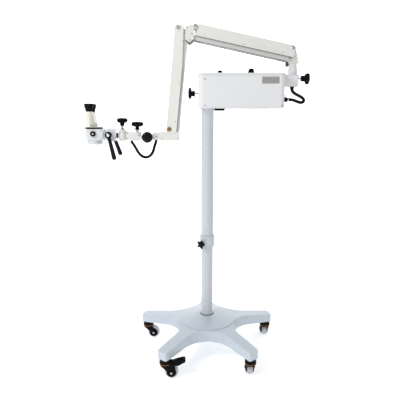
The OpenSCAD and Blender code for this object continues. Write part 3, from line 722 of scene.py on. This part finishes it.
# %% Casters
for corner in ("front_left", "front_right", "left", "right", "back"):
    dress("fork_" + corner, caster_black, 0.0012)
    low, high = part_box("wheel_" + corner)
    middle = (Vector(low) + Vector(high)) / 2
    axle = Vector(JOINTS["roll_" + corner]["axis"])
    body, fork = "wheel_" + corner, "caster_" + corner
    keep(turned("tyre_" + corner,
        [(0.0212, -0.0136), (0.0275, -0.0136), (0.0300, -0.0118), (0.0313, -0.0062), (0.0315, 0.0),
        (0.0313, 0.0062), (0.0300, 0.0118), (0.0275, 0.0136), (0.0212, 0.0136), (0.0212, -0.0136)],
        middle, axle, 0.0008, 72), body, tyre_grey, "wheel_" + corner)
    keep(turned("hub_" + corner,
        [(0.0052, -0.0138), (0.0095, -0.0138), (0.0115, -0.0105), (0.0185, -0.0105), (0.0213, -0.0132),
        (0.0213, 0.0132), (0.0185, 0.0105), (0.0115, 0.0105), (0.0095, 0.0138), (0.0052, 0.0138),
        (0.0052, -0.0138)], middle, axle, 0.0006, 48), body, caster_black)
    swivel = joint_at("swivel_" + corner)
    keep(turned("dust_ring_" + corner,
        [(0.0255, 0.0715), (0.0277, 0.0718), (0.0280, 0.0732), (0.0277, 0.0746), (0.0255, 0.0749),
        (0.0255, 0.0715)], (swivel.x, swivel.y, 0), UP, 0.0004, 64), fork, hub_amber)
    for way in (-1, 1):
        side = axle * way
        keep(turned(f"axle_nut_{corner}_{'ab'[way > 0]}",
            [(0, 0.0210), (0.0056, 0.0210), (0.0056, 0.0252), (0.0046, 0.0262), (0, 0.0262)],
            middle, side, 0.0005, 6), fork, steel)
        keep(turned(f"axle_end_{corner}_{'ab'[way > 0]}",
            [(0, 0.0258), (0.0030, 0.0258), (0.0030, 0.0278), (0, 0.0284)],
            middle, side, 0.0004, 24), fork, steel)
for side in ("left", "right"):
    dress("pedal_" + side, caster_black, 0.0025, 4)
    way = Vector(JOINTS["brake_" + side]["axis"])
    along = way.cross(Vector((0, 0, 1)))
    pin = joint_at("brake_" + side)
    spin = math.atan2(along.y, along.x)
    grip = row_of_bars.grow("pedal_grip_" + side, caster_black, Count=7,
        Start=tuple(pin + along * 0.0165 + Vector((0, 0, 0.0175))),
        Step=tuple(along * 0.0048 + Vector((0, 0, 0.0013))), Size=(0.0016, 0.022, 0.0026),
        Turn=(0, -0.27, spin))
    keep(grip, "pedal_" + side, caster_black)
print("casters", 5, "pedals", 2)

# %% [markdown]
# ## Hand knobs
# Five clamp knobs have moulded five-lobed heads with a domed top, on turned steel stems. The
# head is a turned profile whose radius swings in between the lobes, and a small round cap
# closes the middle, as on real knobs with a pressed-in insert.

# %% Hand knobs
def hand_knob(node, base, axis, stem, head, necks=(), swing=0.20, start=0):
    """stem and head are (radius, start, end) along the axis; necks are (profile, finish) between them."""
    body = BODY_OF[node]
    r, a, b = head
    tall = b - a
    profile = [(0, a), (r * 0.55, a), (r * 0.80, a + tall * 0.10), (r, a + tall * 0.34),
        (r, a + tall * 0.68),
        (r * 0.86, a + tall * 0.93), (r * 0.50, b), (r * 0.34, b), (r * 0.30, b - tall * 0.05),
        (0, b - tall * 0.05)]
    keep(turned(node + ".head", profile, base, axis, r * 0.12, 120, 5, swing, start), body, knob_black,
        node)
    keep(turned(node + ".insert",
        [(0, b - tall * 0.06), (r * 0.27, b - tall * 0.06), (r * 0.27, b - tall * 0.01),
        (r * 0.20, b + tall * 0.02), (0, b + tall * 0.03)], base, axis, 0.0004, 40), body, drum_black)
    s, c, d = stem
    keep(turned(node + ".stem", [(0, c), (s, c), (s, d), (0, d)], base, axis, 0.0005, 40), body, steel)
    for i, (profile, finish) in enumerate(necks):
        profile = [(0, profile[0][1])] + list(profile) + [(0, profile[-1][1])]
        keep(turned(f"{node}.neck_{i}", profile, base, axis, 0.0006, 48), body, finish)


KNOB_ANGLE = math.radians(-123.5)  # the column knob points forward and to the left
out = Vector((math.cos(KNOB_ANGLE), math.sin(KNOB_ANGLE), 0))
hand_knob("box_knob", (0, 0, 1.321), LEFT, (0.004, 0.031, 0.064), (0.028, 0.077, 0.093),
    [([(0.0140, 0.0612), (0.0140, 0.0680), (0.0120, 0.0700), (0.0120, 0.0775)], knob_black)])
hand_knob("block_knob", (0.4195, 0, 1.391), RIGHT, (0.004, 0, 0.030), (0.0275, 0.0435, 0.0655),
    [([(0.0134, 0.0257), (0.0134, 0.0410), (0.0155, 0.0438)], knob_black)])
hand_knob("arm_knob", (-0.343, 0, 1.100), UP, (0.005, 0.0, 0.050), (0.0300, 0.065, 0.088),
    [([(0.0072, 0.0395), (0.0072, 0.0498)], steel),
    ([(0.0125, 0.0499), (0.0125, 0.0525), (0.0092, 0.0580), (0.0092, 0.0665)], knob_black)])
hand_knob("head_knob", (-0.416, 0, 1.097), UP, (0.005, 0.0, 0.068), (0.0268, 0.086, 0.109),
    [([(0.0130, 0.0525), (0.0125, 0.0545), (0.0055, 0.0640), (0.0050, 0.0700)], steel),
    ([(0.0085, 0.0702), (0.0122, 0.0865)], knob_black)])
knob_ends = [v.co.dot(out) for v in frame["nodes"]["column_knob"].data.vertices]
tip, end = min(knob_ends), max(knob_ends)
height = (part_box("column_knob")[0][2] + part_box("column_knob")[1][2]) / 2
hand_knob("column_knob", (0, 0, height), out, (0.0038, tip, end - 0.016),
    (0.0230, end - 0.0145, end - 0.0006),
    [([(0.0090, end - 0.0225), (0.0090, end - 0.0140)], knob_black)], 0.44, 40)
print("column knob from", round(tip, 4), "to", round(end, 4))

# %% [markdown]
# ## Lamp box
# The box is bent sheet with a lipped lid. A dark shadow gap shows between them, and a lighter
# strip runs round the bottom. The front carries a slatted vent, the lid a power button and a
# domed dimmer with a scale of short marks.

# %% Lamp box shell
dress("lamp_case", case_coat, 0.0016)
dress("case_lid", lid_coat, 0.0032, 4)
dress("side_block", case_coat, 0.0025, 4)
dress("vent_grille", vent_grey, 0.0004, 2)
vent_low = Vector(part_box("vent_grille")[0])
keep(row_of_bars.grow("vent_slats", vent_grey, Count=9,
    Start=(vent_low.x + 0.040, vent_low.y + 0.0026, vent_low.z + 0.0045),
    Step=(0, 0, 0.0029), Size=(0.075, 0.0030, 0.0016), Turn=(0.5, 0, 0)), "box", vent_grey)
case_low, case_high = (Vector(c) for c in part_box("lamp_case"))
screws("case_screws", "box", dark_steel,
    [((x, case_low.y - 0.0001, z), NEAR, 0.0028) for x in (case_low.x + 0.03,
    case_high.x - 0.012) for z in (1.262,)] +
    [((case_low.x + 0.03, case_low.y - 0.0001, 1.380), NEAR, 0.0028)] +
    [((x, case_high.y + 0.0001, z), FAR, 0.0028) for x in (case_low.x + 0.03,
    case_high.x - 0.03) for z in (1.262, 1.380)] +
    [((x, y, 1.2510), (0, 0, -1), 0.003) for x in (case_low.x + 0.02, case_high.x - 0.02) for y in (-0.08,
    0.08)])
keep(plate("bottom_strip",
    [(case_low.x + 0.020, 1.2512), (case_high.x - 0.002, 1.2512), (case_high.x - 0.002, 1.2545),
    (case_low.x + 0.020, 1.2545)], case_low.y - 0.0007, case_low.y + 0.0010, 0.0005), "box", lid_coat)
keep(row_of_bars.grow("floor_vents", drum_black, Count=12, Start=(0.20, 0.03, 1.2512), Step=(0.008, 0, 0),
    Size=(0.0035, 0.05, 0.0007)), "box", drum_black)

# %% Lid controls
keep(turned("power_button.look",
    [(0, -0.012), (0.005, -0.012), (0.005, -0.0042), (0.0138, -0.0042), (0.0138, -0.0026),
    (0.0098, -0.0026),
    (0.0098, 0.011), (0.0085, 0.0128), (0, 0.0122)], (0.055, -0.070, 1.407), UP, 0.0008, 48),
    "power_button", knob_black, "power_button")
keep(turned("button_collar", [(0.0108, 0), (0.0150, 0), (0.0140, 0.0026), (0.0108, 0.0030), (0.0108, 0)],
    (0.055, -0.070, 1.4071), UP, 0.0004, 48), "box", steel)
keep(turned("dimmer_knob.look",
    [(0, 0.0006), (0.0150, 0.0006), (0.0150, 0.005), (0.0132, 0.0075), (0.0122, 0.017), (0.0085, 0.0222),
    (0, 0.0235)], (0.2, -0.060, 1.407), UP, 0.0016, 64), "dimmer_knob", knob_black, "dimmer_knob")
keep(ring_of_ribs.grow("dimmer_grip", knob_black, Count=28, Radius=0.0126, Size=(0.0012, 0.0009, 0.009),
    Centre=(0.2, -0.060, 1.4190)), "dimmer_knob", knob_black)
keep(plate("dimmer_pointer", [(0.1995, 1.4290), (0.2005, 1.4290), (0.2005, 1.4304), (0.1995, 1.4304)],
    -0.0710, -0.0610, 0.0002, 1), "dimmer_knob", lid_coat)
keep(ring_of_ribs.grow("dimmer_scale", drum_black, Count=24, Radius=0.0195, Size=(0.0030, 0.0006, 0.0004),
    Centre=(0.2, -0.060, 1.4071)), "box", drum_black)

# %% [markdown]
# ## Inside the box
# The parts inside are seen through the vent and from below only, but each gets its real
# features: cooling fins on the lamp house, blades in the fan and a coil on the power supply.

# %% Inside the box
dress("lamp_house", sheet_aluminium, 0.001)
dress("cooling_fan", fan_plastic, 0.0012)
dress("power_supply", board, 0.0008)
dress("mains_inlet", knob_black, 0.0008)
keep(row_of_bars.grow("lamp_fins", sheet_aluminium, Count=12, Start=(0.2545, 0, 1.3380),
    Step=(0.0062, 0, 0), Size=(0.0012, 0.056, 0.012)), "box", sheet_aluminium)
keep(ring_of_ribs.grow("fan_blades", fan_plastic, Count=9, Radius=0.0255, Size=(0.020, 0.011, 0.0012),
    Centre=(0.286, -0.0880, 1.346), Turn=(math.pi / 2, 0, 0), Lean=0.6), "box", fan_plastic)
keep(turned("fan_hub", [(0, 0), (0.016, 0), (0.016, 0.008), (0.014, 0.010), (0, 0.010)],
    (0.286, -0.0830, 1.346), NEAR, 0.001, 48), "box", fan_plastic)
keep(coil.grow("supply_coil", bronze, Turns=14.0, Radius=0.013, Length=0.04, Wire=0.0013,
    Centre=(0.155, 0.0, 1.3235), Turn=(0, math.pi / 2, 0)), "box", bronze)
keep(row_of_bars.grow("supply_cans", drum_black, Count=4, Start=(0.118, 0.042, 1.3190), Step=(0.024, 0, 0),
    Size=(0.016, 0.016, 0.022)), "box", drum_black)
keep(row_of_bars.grow("inlet_pins", brass, Count=3, Start=(0.0455, 0, 1.2520), Step=(0.012, 0, 0),
    Size=(0.0016, 0.006, 0.012)), "box", brass)

# %% Light guide plug
dress("guide_connector", knob_black, 0.0008)
keep(ring_of_ribs.grow("connector_grip", knob_black, Count=26, Radius=0.0104, Size=(0.0012, 0.0012, 0.020),
    Centre=(0.370, 0, 1.293), Turn=(0, math.pi / 2, 0)), "box", knob_black)
keep(turned("guide_ferrule",
    [(0.0064, 0), (0.0080, 0), (0.0080, 0.006), (0.0070, 0.0075), (0.0070, 0.0105), (0.0064, 0.0105),
    (0.0064, 0)], (0.3835, 0, 1.293), RIGHT, 0.0003, 48), "box", steel)
keep(turned("release_pin",
    [(0, 0), (0.0022, 0), (0.0022, 0.009), (0.0032, 0.0095), (0.0032, 0.0125), (0, 0.0130)],
    (0.3730, 0, 1.3030), UP, 0.0003, 24), "box", steel)
keep(turned("socket_gland",
    [(0.0062, 0), (0.0100, 0), (0.0092, 0.008), (0.0082, 0.012), (0.0062, 0.012), (0.0062, 0)],
    (0.404, 0, 1.3526), (0, 0, -1), 0.0004, 40), "box", knob_black)
print("box pieces done")

# %% [markdown]
# ## Sprung arms
# Two parallelograms hang from the post. Each has a wide cover over its main link and a slim
# second link. Thin brown strips along the lower edges of the covers and the links are painted
# shadow, domed caps close the pivot pins, and small socket screws hold the covers.

# %% Pivots and slopes
post_pivot, elbow_pivot = joint_at("arm_lift"), joint_at("elbow_level")
top_pivot, foot_pivot = joint_at("arm_swing"), joint_at("bracket_level")
low_pivot = joint_at("lower_follow")


def beside(one, two, along, up):
    """The X-Z point at a distance along the line from one to two and up from it."""
    way = (two - one).normalized()
    side = Vector((-way.z, 0, way.x))
    p = one + way * along + side * up
    return (p.x, p.z)


for name in ("upper_link", "elbow", "drop_link"):
    dress(name, cover_enamel if name == "drop_link" else arm_enamel, 0.0022, 4)
for name in ("lower_link", "rear_link"):
    dress(name, link_enamel, 0.001)
dress("yoke", arm_enamel, 0.0015)
dress("drop_bracket", arm_enamel, 0.0015)
reach = (post_pivot - elbow_pivot).length
# Thin brown strips along the lower edges of both arm covers are painted shadow, not parts.
for way in (-1, 1):
    tag = "near" if way < 0 else "far"
    y0, y1 = sorted((way * 0.0206, way * 0.0252))
    keep(plate("cover_gasket_" + tag, [beside(elbow_pivot, post_pivot, 0.009, -0.0390),
        beside(elbow_pivot, post_pivot, reach + 0.012, -0.0390),
        beside(elbow_pivot, post_pivot, reach + 0.012, -0.0402),
        beside(elbow_pivot, post_pivot, 0.009, -0.0402)][::-1], y0, y1, 0.0002, 1), "upper_arm", tab_brown)
    keep(plate("swing_gasket_" + tag,
        [beside(foot_pivot, top_pivot, -0.006, -0.0360), beside(foot_pivot, top_pivot, 0.290, -0.0365),
        beside(foot_pivot, top_pivot, 0.290, -0.0374),
        beside(foot_pivot, top_pivot, -0.006, -0.0369)][::-1], y0, y1, 0.0002, 1), "drop_arm", tab_brown)
low_left = low_pivot + elbow_pivot - post_pivot
# A thin brown strip along the lower link's lower edge is painted shadow, not a part.
for way in (-1, 1):
    y0, y1 = sorted((way * 0.0138, way * 0.0178))
    keep(plate("link_gasket_" + ("near" if way < 0 else "far"),
        [beside(low_left, low_pivot, 0.012, -0.0146), beside(low_left, low_pivot, reach - 0.012, -0.0146),
        beside(low_left, low_pivot, reach - 0.012, -0.0160),
        beside(low_left, low_pivot, 0.012, -0.0160)][::-1], y0, y1, 0.0002, 1), "lower_arm", tab_brown)
keep(coil.grow("balance_coil", steel, Turns=58.0, Radius=0.0078, Length=0.322, Wire=0.0013,
    Centre=tuple(elbow_pivot + (post_pivot - elbow_pivot).normalized() * 0.060 + Vector((0, 0, -0.007))),
    Turn=(0, math.atan2((post_pivot - elbow_pivot).x, (post_pivot - elbow_pivot).z), 0)), "upper_arm",
    steel, "balance_spring")
# The tab is a small stop bracket; its brown colour is painted shade.
keep(plate("cable_tab", [(0.369, 1.446), (0.383, 1.446), (0.383, 1.467), (0.369, 1.467)], -0.0058, 0.0058,
    0.0008), "post", tab_brown)

# %% Pivot caps and cover screws
def cap(name, body, at, radius, finish, way, rise=0.0030):
    side = Vector((0, -1 if way == "near" else 1, 0))
    keep(turned(f"{name}_{way}", [(0, 0), (radius, 0), (radius, rise * 0.45), (radius * 0.80, rise * 0.9),
        (radius * 0.4, rise * 1.08), (0, rise * 1.12)],
        Vector((at.x, 0, at.z)) + side * 0.0278, side, 0.0006, 56), body, finish)


for way in ("near", "far"):
    cap("post_cap", "post", post_pivot, 0.0108, chrome, way)
    cap("elbow_cap", "upper_arm", elbow_pivot, 0.0108, chrome, way)
    cap("top_cap", "elbow", top_pivot, 0.0108, chrome, way)
    cap("foot_cap", "bracket", foot_pivot, 0.0108, bronze, way)
    side = NEAR if way == "near" else FAR
    y = 0.0251 * side[1]
    screws("arm_cover_screws_" + way, "upper_arm", steel, [((x, y, z), side, 0.0024) for x,
        z in (beside(elbow_pivot, post_pivot, s, -0.030) for s in (0.05, 0.235, 0.42))])
    screws("swing_cover_screws_" + way, "drop_arm", steel, [((x, y, z), side, 0.0024) for x,
        z in (beside(foot_pivot, top_pivot, s, -0.028) for s in (0.04, 0.225, 0.41))])
    screws("elbow_screws_" + way, "elbow", dark_steel,
        [((-0.0845, y, 1.5620), side, 0.0026), ((-0.0745, y, 1.5900), side, 0.0026),
        ((-0.0965, y, 1.6160), side, 0.0022)])
    screws("bracket_screws_" + way, "bracket", brass, [((-0.2475, 0.0181 * side[1], 1.1180), side, 0.0040)])
    screws("block_screws_" + way, "bracket", steel,
        [((x, 0.0206 * side[1], 1.1080), side, 0.0030) for x in (-0.2215, -0.1440)])
    # A black V band along the elbow's lower edge, on both sides, is painted shade of the elbow's underside.
    underside_shade = [(-0.1055, 1.5640), (-0.1055, 1.5605), (-0.0860, 1.5462), (-0.0640, 1.5625), (-0.0640, 1.5665),
        (-0.0860, 1.5498)]
    a, b = sorted((0.0206 * side[1], 0.0253 * side[1]))
    keep(plate("elbow_trim_" + way, underside_shade[::-1], a, b, 0.0003, 1), "elbow", knob_black)
    screws("post_screws_" + way, "post", dark_steel,
        [((low_pivot.x, 0.0196 * side[1], low_pivot.z), side, 0.0034)])
print("arms of", round(reach, 4), "m")

# %% [markdown]
# ## Carrier
# A hinge with a large polished knob pitches the carrier, a lap joint turns it, and a barrel
# turns the head. The drum behind the microscope tilts it, with two clamp levers.

# %% Carrier
dress("swivel_link", arm_enamel, 0.0015)
dress("carrier_arm", arm_enamel, 0.0016)
dress("barrel", arm_enamel, 0.0008)
dress("tilt_housing", housing_enamel, 0.0022, 4)
dress("tilt_ring", knob_black, 0.0004, 2)
pitch = joint_at("carrier_pitch")
keep(turned("pitch_knob.look",
    [(0, 0.0365), (0.0225, 0.0365), (0.0262, 0.0400), (0.0265, 0.0470), (0.0250, 0.0535), (0.0190, 0.0566),
    (0, 0.0572)], pitch, NEAR, 0.0022, 96), "pitch_knob", knob_gloss, "pitch_knob")
keep(turned("pitch_stem",
    [(0, -0.0272), (0.0110, -0.0272), (0.0110, -0.0205), (0.0059, -0.0205), (0.0059, 0.0206),
    (0.0118, 0.0206), (0.0118, 0.0372), (0, 0.0372)], pitch, NEAR, 0.0006, 56), "pitch_knob", steel)
screws("swivel_screws", "swivel_link", dark_steel,
    [((-0.3115, s * 0.0201, 1.1150), (0, s, 0), 0.0026) for s in (-1, 1)])
screws("carrier_screws", "carrier", dark_steel,
    [((-0.3900, s * 0.0181, z), (0, s, 0), 0.0026) for s in (-1, 1) for z in (1.1075, 1.1340)])
keep(turned("barrel_ring",
    [(0.0172, -0.0006), (0.0178, -0.0006), (0.0178, 0.0006), (0.0172, 0.0006), (0.0172, -0.0006)],
    (-0.416, 0, 1.1400), UP, 0.0001, 64), "head_swivel", steel)
tilt = joint_at("head_tilt")
screws("housing_screws", "tilt_housing", dark_steel,
    [((tilt.x + 0.0225 * math.cos(a), s * 0.0301, tilt.z + 0.0225 * math.sin(a)), (0, s, 0), 0.0022)
    for s in (-1, 1) for a in (math.radians(25), math.radians(145), math.radians(265))])

# %% Clamp levers
for node, way, lean, long in (("front_lever", -1, 12.4, 0.121), ("rear_lever", 1, 19.5, 0.110)):
    side, body = Vector((0, way, 0)), BODY_OF[node]
    down = Vector((math.sin(math.radians(lean)), 0, -math.cos(math.radians(lean))))
    grip = [(0, 0.006), (0.0090, 0.010), (0.0088, 0.030), (0.0106, long - 0.022), (0.0112, long - 0.010),
        (0.0096, long - 0.0035), (0.0056, long - 0.0005), (0, long)]
    keep(turned(node + ".grip", grip, tilt + side * 0.056, down, 0.004, 48), body, lever_navy, node)
    keep(turned(node + ".hub",
        [(0, 0.0470), (0.0160, 0.0470), (0.0160, 0.0630), (0.0150, 0.0650), (0.0085, 0.0650),
        (0.0080, 0.0640), (0, 0.0640)], tilt, side, 0.0008, 64), body, knob_black)
    keep(turned(node + ".boss", [(0, 0.0305), (0.0080, 0.0305), (0.0080, 0.0472), (0, 0.0472)], tilt, side,
        0.0005, 48), body, steel)
    keep(turned(node + ".cap",
        [(0, 0.0636), (0.0078, 0.0636), (0.0074, 0.0652), (0.0042, 0.0662), (0, 0.0664)], tilt, side,
        0.0006, 48), body, chrome)

# %% [markdown]
# ## Microscope
# The body is white with a black top plate, a magnification drum through it, and cream tubes
# up to the eyecups. Fine knurls on the drum and bright stripes on the objective ring are ribs
# placed by the ring tree.

# %% Microscope
dress("scope_body", scope_enamel, 0.0018, 4)
dress("filter_lever", cream_enamel, 0.0005, 2)
dress("objective_ring", scope_enamel, 0.0008)
dress("binocular", cream_enamel, 0.0010)
dress("mag_knob", drum_black, 0.0012)
lens_low, lens_high = (Vector(c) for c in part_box("objective_lens"))
lens_r, lens_z = (lens_high.x - lens_low.x) / 2, lens_low.z
keep(turned("objective_lens.look",
    [(0, lens_z + 0.0004), (lens_r * 0.6, lens_z + 0.0010), (lens_r, lens_z + 0.0024),
    (lens_r, lens_high.z), (0, lens_high.z)],
    (-0.551, 0, 0), UP, 0, 72), "head", lens_glass, "objective_lens")
for s in (-1, 1):
    tag = "near" if s < 0 else "far"
    keep(ring_of_ribs.grow("drum_knurl_" + tag, drum_black, Count=44, Radius=0.0125,
        Size=(0.0010, 0.0009, 0.008),
        Centre=(-0.551, s * 0.0412, 1.131), Turn=(math.pi / 2, 0, 0)), "mag_drum", drum_black)
    keep(turned("drum_cap_" + tag,
        [(0, 0.0455), (0.0036, 0.0455), (0.0036, 0.0464), (0.0030, 0.0468), (0, 0.0468)],
        (-0.551, 0, 1.131), (0, s, 0), 0.0003, 32), "mag_drum", case_coat)
keep(ring_of_ribs.grow("ring_grip", scope_enamel, Count=60, Radius=0.0364, Size=(0.0008, 0.0018, 0.012),
    Centre=(-0.551, 0, 1.0920)), "focus_ring", scope_enamel)
for a in (-58, -46, -34):
    way = Vector((math.cos(math.radians(a)), math.sin(math.radians(a)), 0))
    spot = Vector((-0.551, 0, 1.0855)) + way * 0.0362
    keep(turned("ring_stripe_%d" % -a, [(0, 0), (0.0014, 0), (0.0014, 0.013), (0, 0.013)],
        spot + way * 0.0004, UP, 0.0003, 16), "focus_ring", steel)
plate_rim = []
for turn, x, y in ((0, -0.5387, 0.0118), (1, -0.5683, 0.0118), (2, -0.5683, -0.0118),
    (3, -0.5387, -0.0118)):
    plate_rim += [(x + 0.0258 * math.cos(a),
        y + 0.0258 * math.sin(a)) for a in (math.pi / 2 * (turn + k / 10) for k in range(11))]
rim = bmesh.new()
under, over = ([rim.verts.new((x, y, z)) for x, y in plate_rim] for z in (1.1534, 1.1622))
rim.faces.new(under)
rim.faces.new(over)
for i in range(len(plate_rim)):
    rim.faces.new((under[i - 1], under[i], over[i], over[i - 1]))
keep(soften(finish_mesh("top_plate", rim), 0.0012, 3), "head", knob_black)
keep(turned("ring_index", [(0, 0), (0.0017, 0), (0.0017, 0.0008), (0, 0.0010)], (-0.551, -0.0288, 1.1008),
    NEAR, 0.0001, 20), "head", knob_black)
screws("body_screws", "head", dark_steel, [((x, s * 0.0361, z), (0, s, 0), 0.0020) for s in (-1, 1) for x,
    z in ((-0.511, 1.146), (-0.511, 1.108), (-0.575, 1.146))])

# %% Eyepieces
for node, y in (("eyepiece_near", -0.027), ("eyepiece_far", 0.027)):
    body, foot_at = BODY_OF[node], (-0.568, y, 1.212)
    keep(turned(node + ".sleeve",
        [(0.0090, 0.0002), (0.0139, 0.0002), (0.0139, 0.0240), (0.0090, 0.0240), (0.0090, 0.0002)], foot_at,
        UP, 0.0004, 64), body, steel, node)
    keep(turned(node + ".cup",
        [(0.0100, 0.0240), (0.0156, 0.0244), (0.0158, 0.0300), (0.0185, 0.0385), (0.0212, 0.0460),
        (0.0216, 0.0590),
        (0.0206, 0.0612), (0.0185, 0.0608), (0.0150, 0.0470), (0.0125, 0.0445), (0.0100, 0.0445),
        (0.0100, 0.0240)], foot_at, UP, 0.0012, 72), body, eyecup_rubber)
    keep(turned(node + ".lens",
        [(0, 0.0400), (0.0102, 0.0400), (0.0102, 0.0425), (0.0070, 0.0437), (0, 0.0441)], foot_at, UP, 0,
        48), body, lens_glass)
    keep(ring_of_ribs.grow(node + ".grip", eyecup_rubber, Count=40, Radius=0.0157,
        Size=(0.0008, 0.0011, 0.0048), Centre=(foot_at[0], y, 1.2395)), body, eyecup_rubber)
print("eyepieces 2")

# %% [markdown]
# ## Floor and light
# A pale floor and an even white surround keep the enamel's soft shading readable. A large key
# light above the left shoulder of the camera shapes the tubes, with a weak fill on the right.

# %% Floor and light
def studio_white(name, glow):
    f = Finish(name, (0.93, 0.93, 0.93), 0.9)
    f.set("Roughness", f.noise(3.0, 2.0) * 0.1 + 0.85)
    f.set("Emission Color", (1, 1, 1, 1))
    f.set("Emission Strength", glow)
    return f.material


def backdrop(name, corners, glow):
    sheet = bmesh.new()
    sheet.faces.new([sheet.verts.new(c) for c in corners])
    panel = finish_mesh(name, sheet, smooth=False)
    panel.data.materials.append(studio_white(name, glow))


HALF, WALL_HALF, WALL_Y = 12, 14, 7
backdrop("floor", [(-HALF, -HALF, 0), (HALF, -HALF, 0), (HALF, HALF, 0), (-HALF, HALF, 0)], 0.42)
backdrop("far_wall",
    [(-WALL_HALF, WALL_Y, -1), (WALL_HALF, WALL_Y, -1), (WALL_HALF, WALL_Y, 9), (-WALL_HALF, WALL_Y, 9)],
    0.75)

world = bpy.data.worlds.new("studio")
world.use_nodes = True
world.node_tree.nodes["Background"].inputs[0].default_value = (1, 1, 1, 1)
world.node_tree.nodes["Background"].inputs[1].default_value = 0.52
bpy.context.scene.world = world


def area_light(name, place, target, size, power):
    lamp = bpy.data.objects.new(name, bpy.data.lights.new(name, "AREA"))
    lamp.data.size = size
    lamp.data.energy = power
    lamp.location = place
    lamp.rotation_euler = (Vector(target) - Vector(place)).to_track_quat("-Z", "Y").to_euler()
    bpy.context.scene.collection.objects.link(lamp)


area_light("key", (-2.4, -2.0, 3.0), (0, 0, 0.9), 1.0, 52)
area_light("fill", (-1.6, -2.6, 0.5), (-0.2, 0, 1.0), 1.6, 6)
bpy.context.scene.view_settings.view_transform = "Standard"
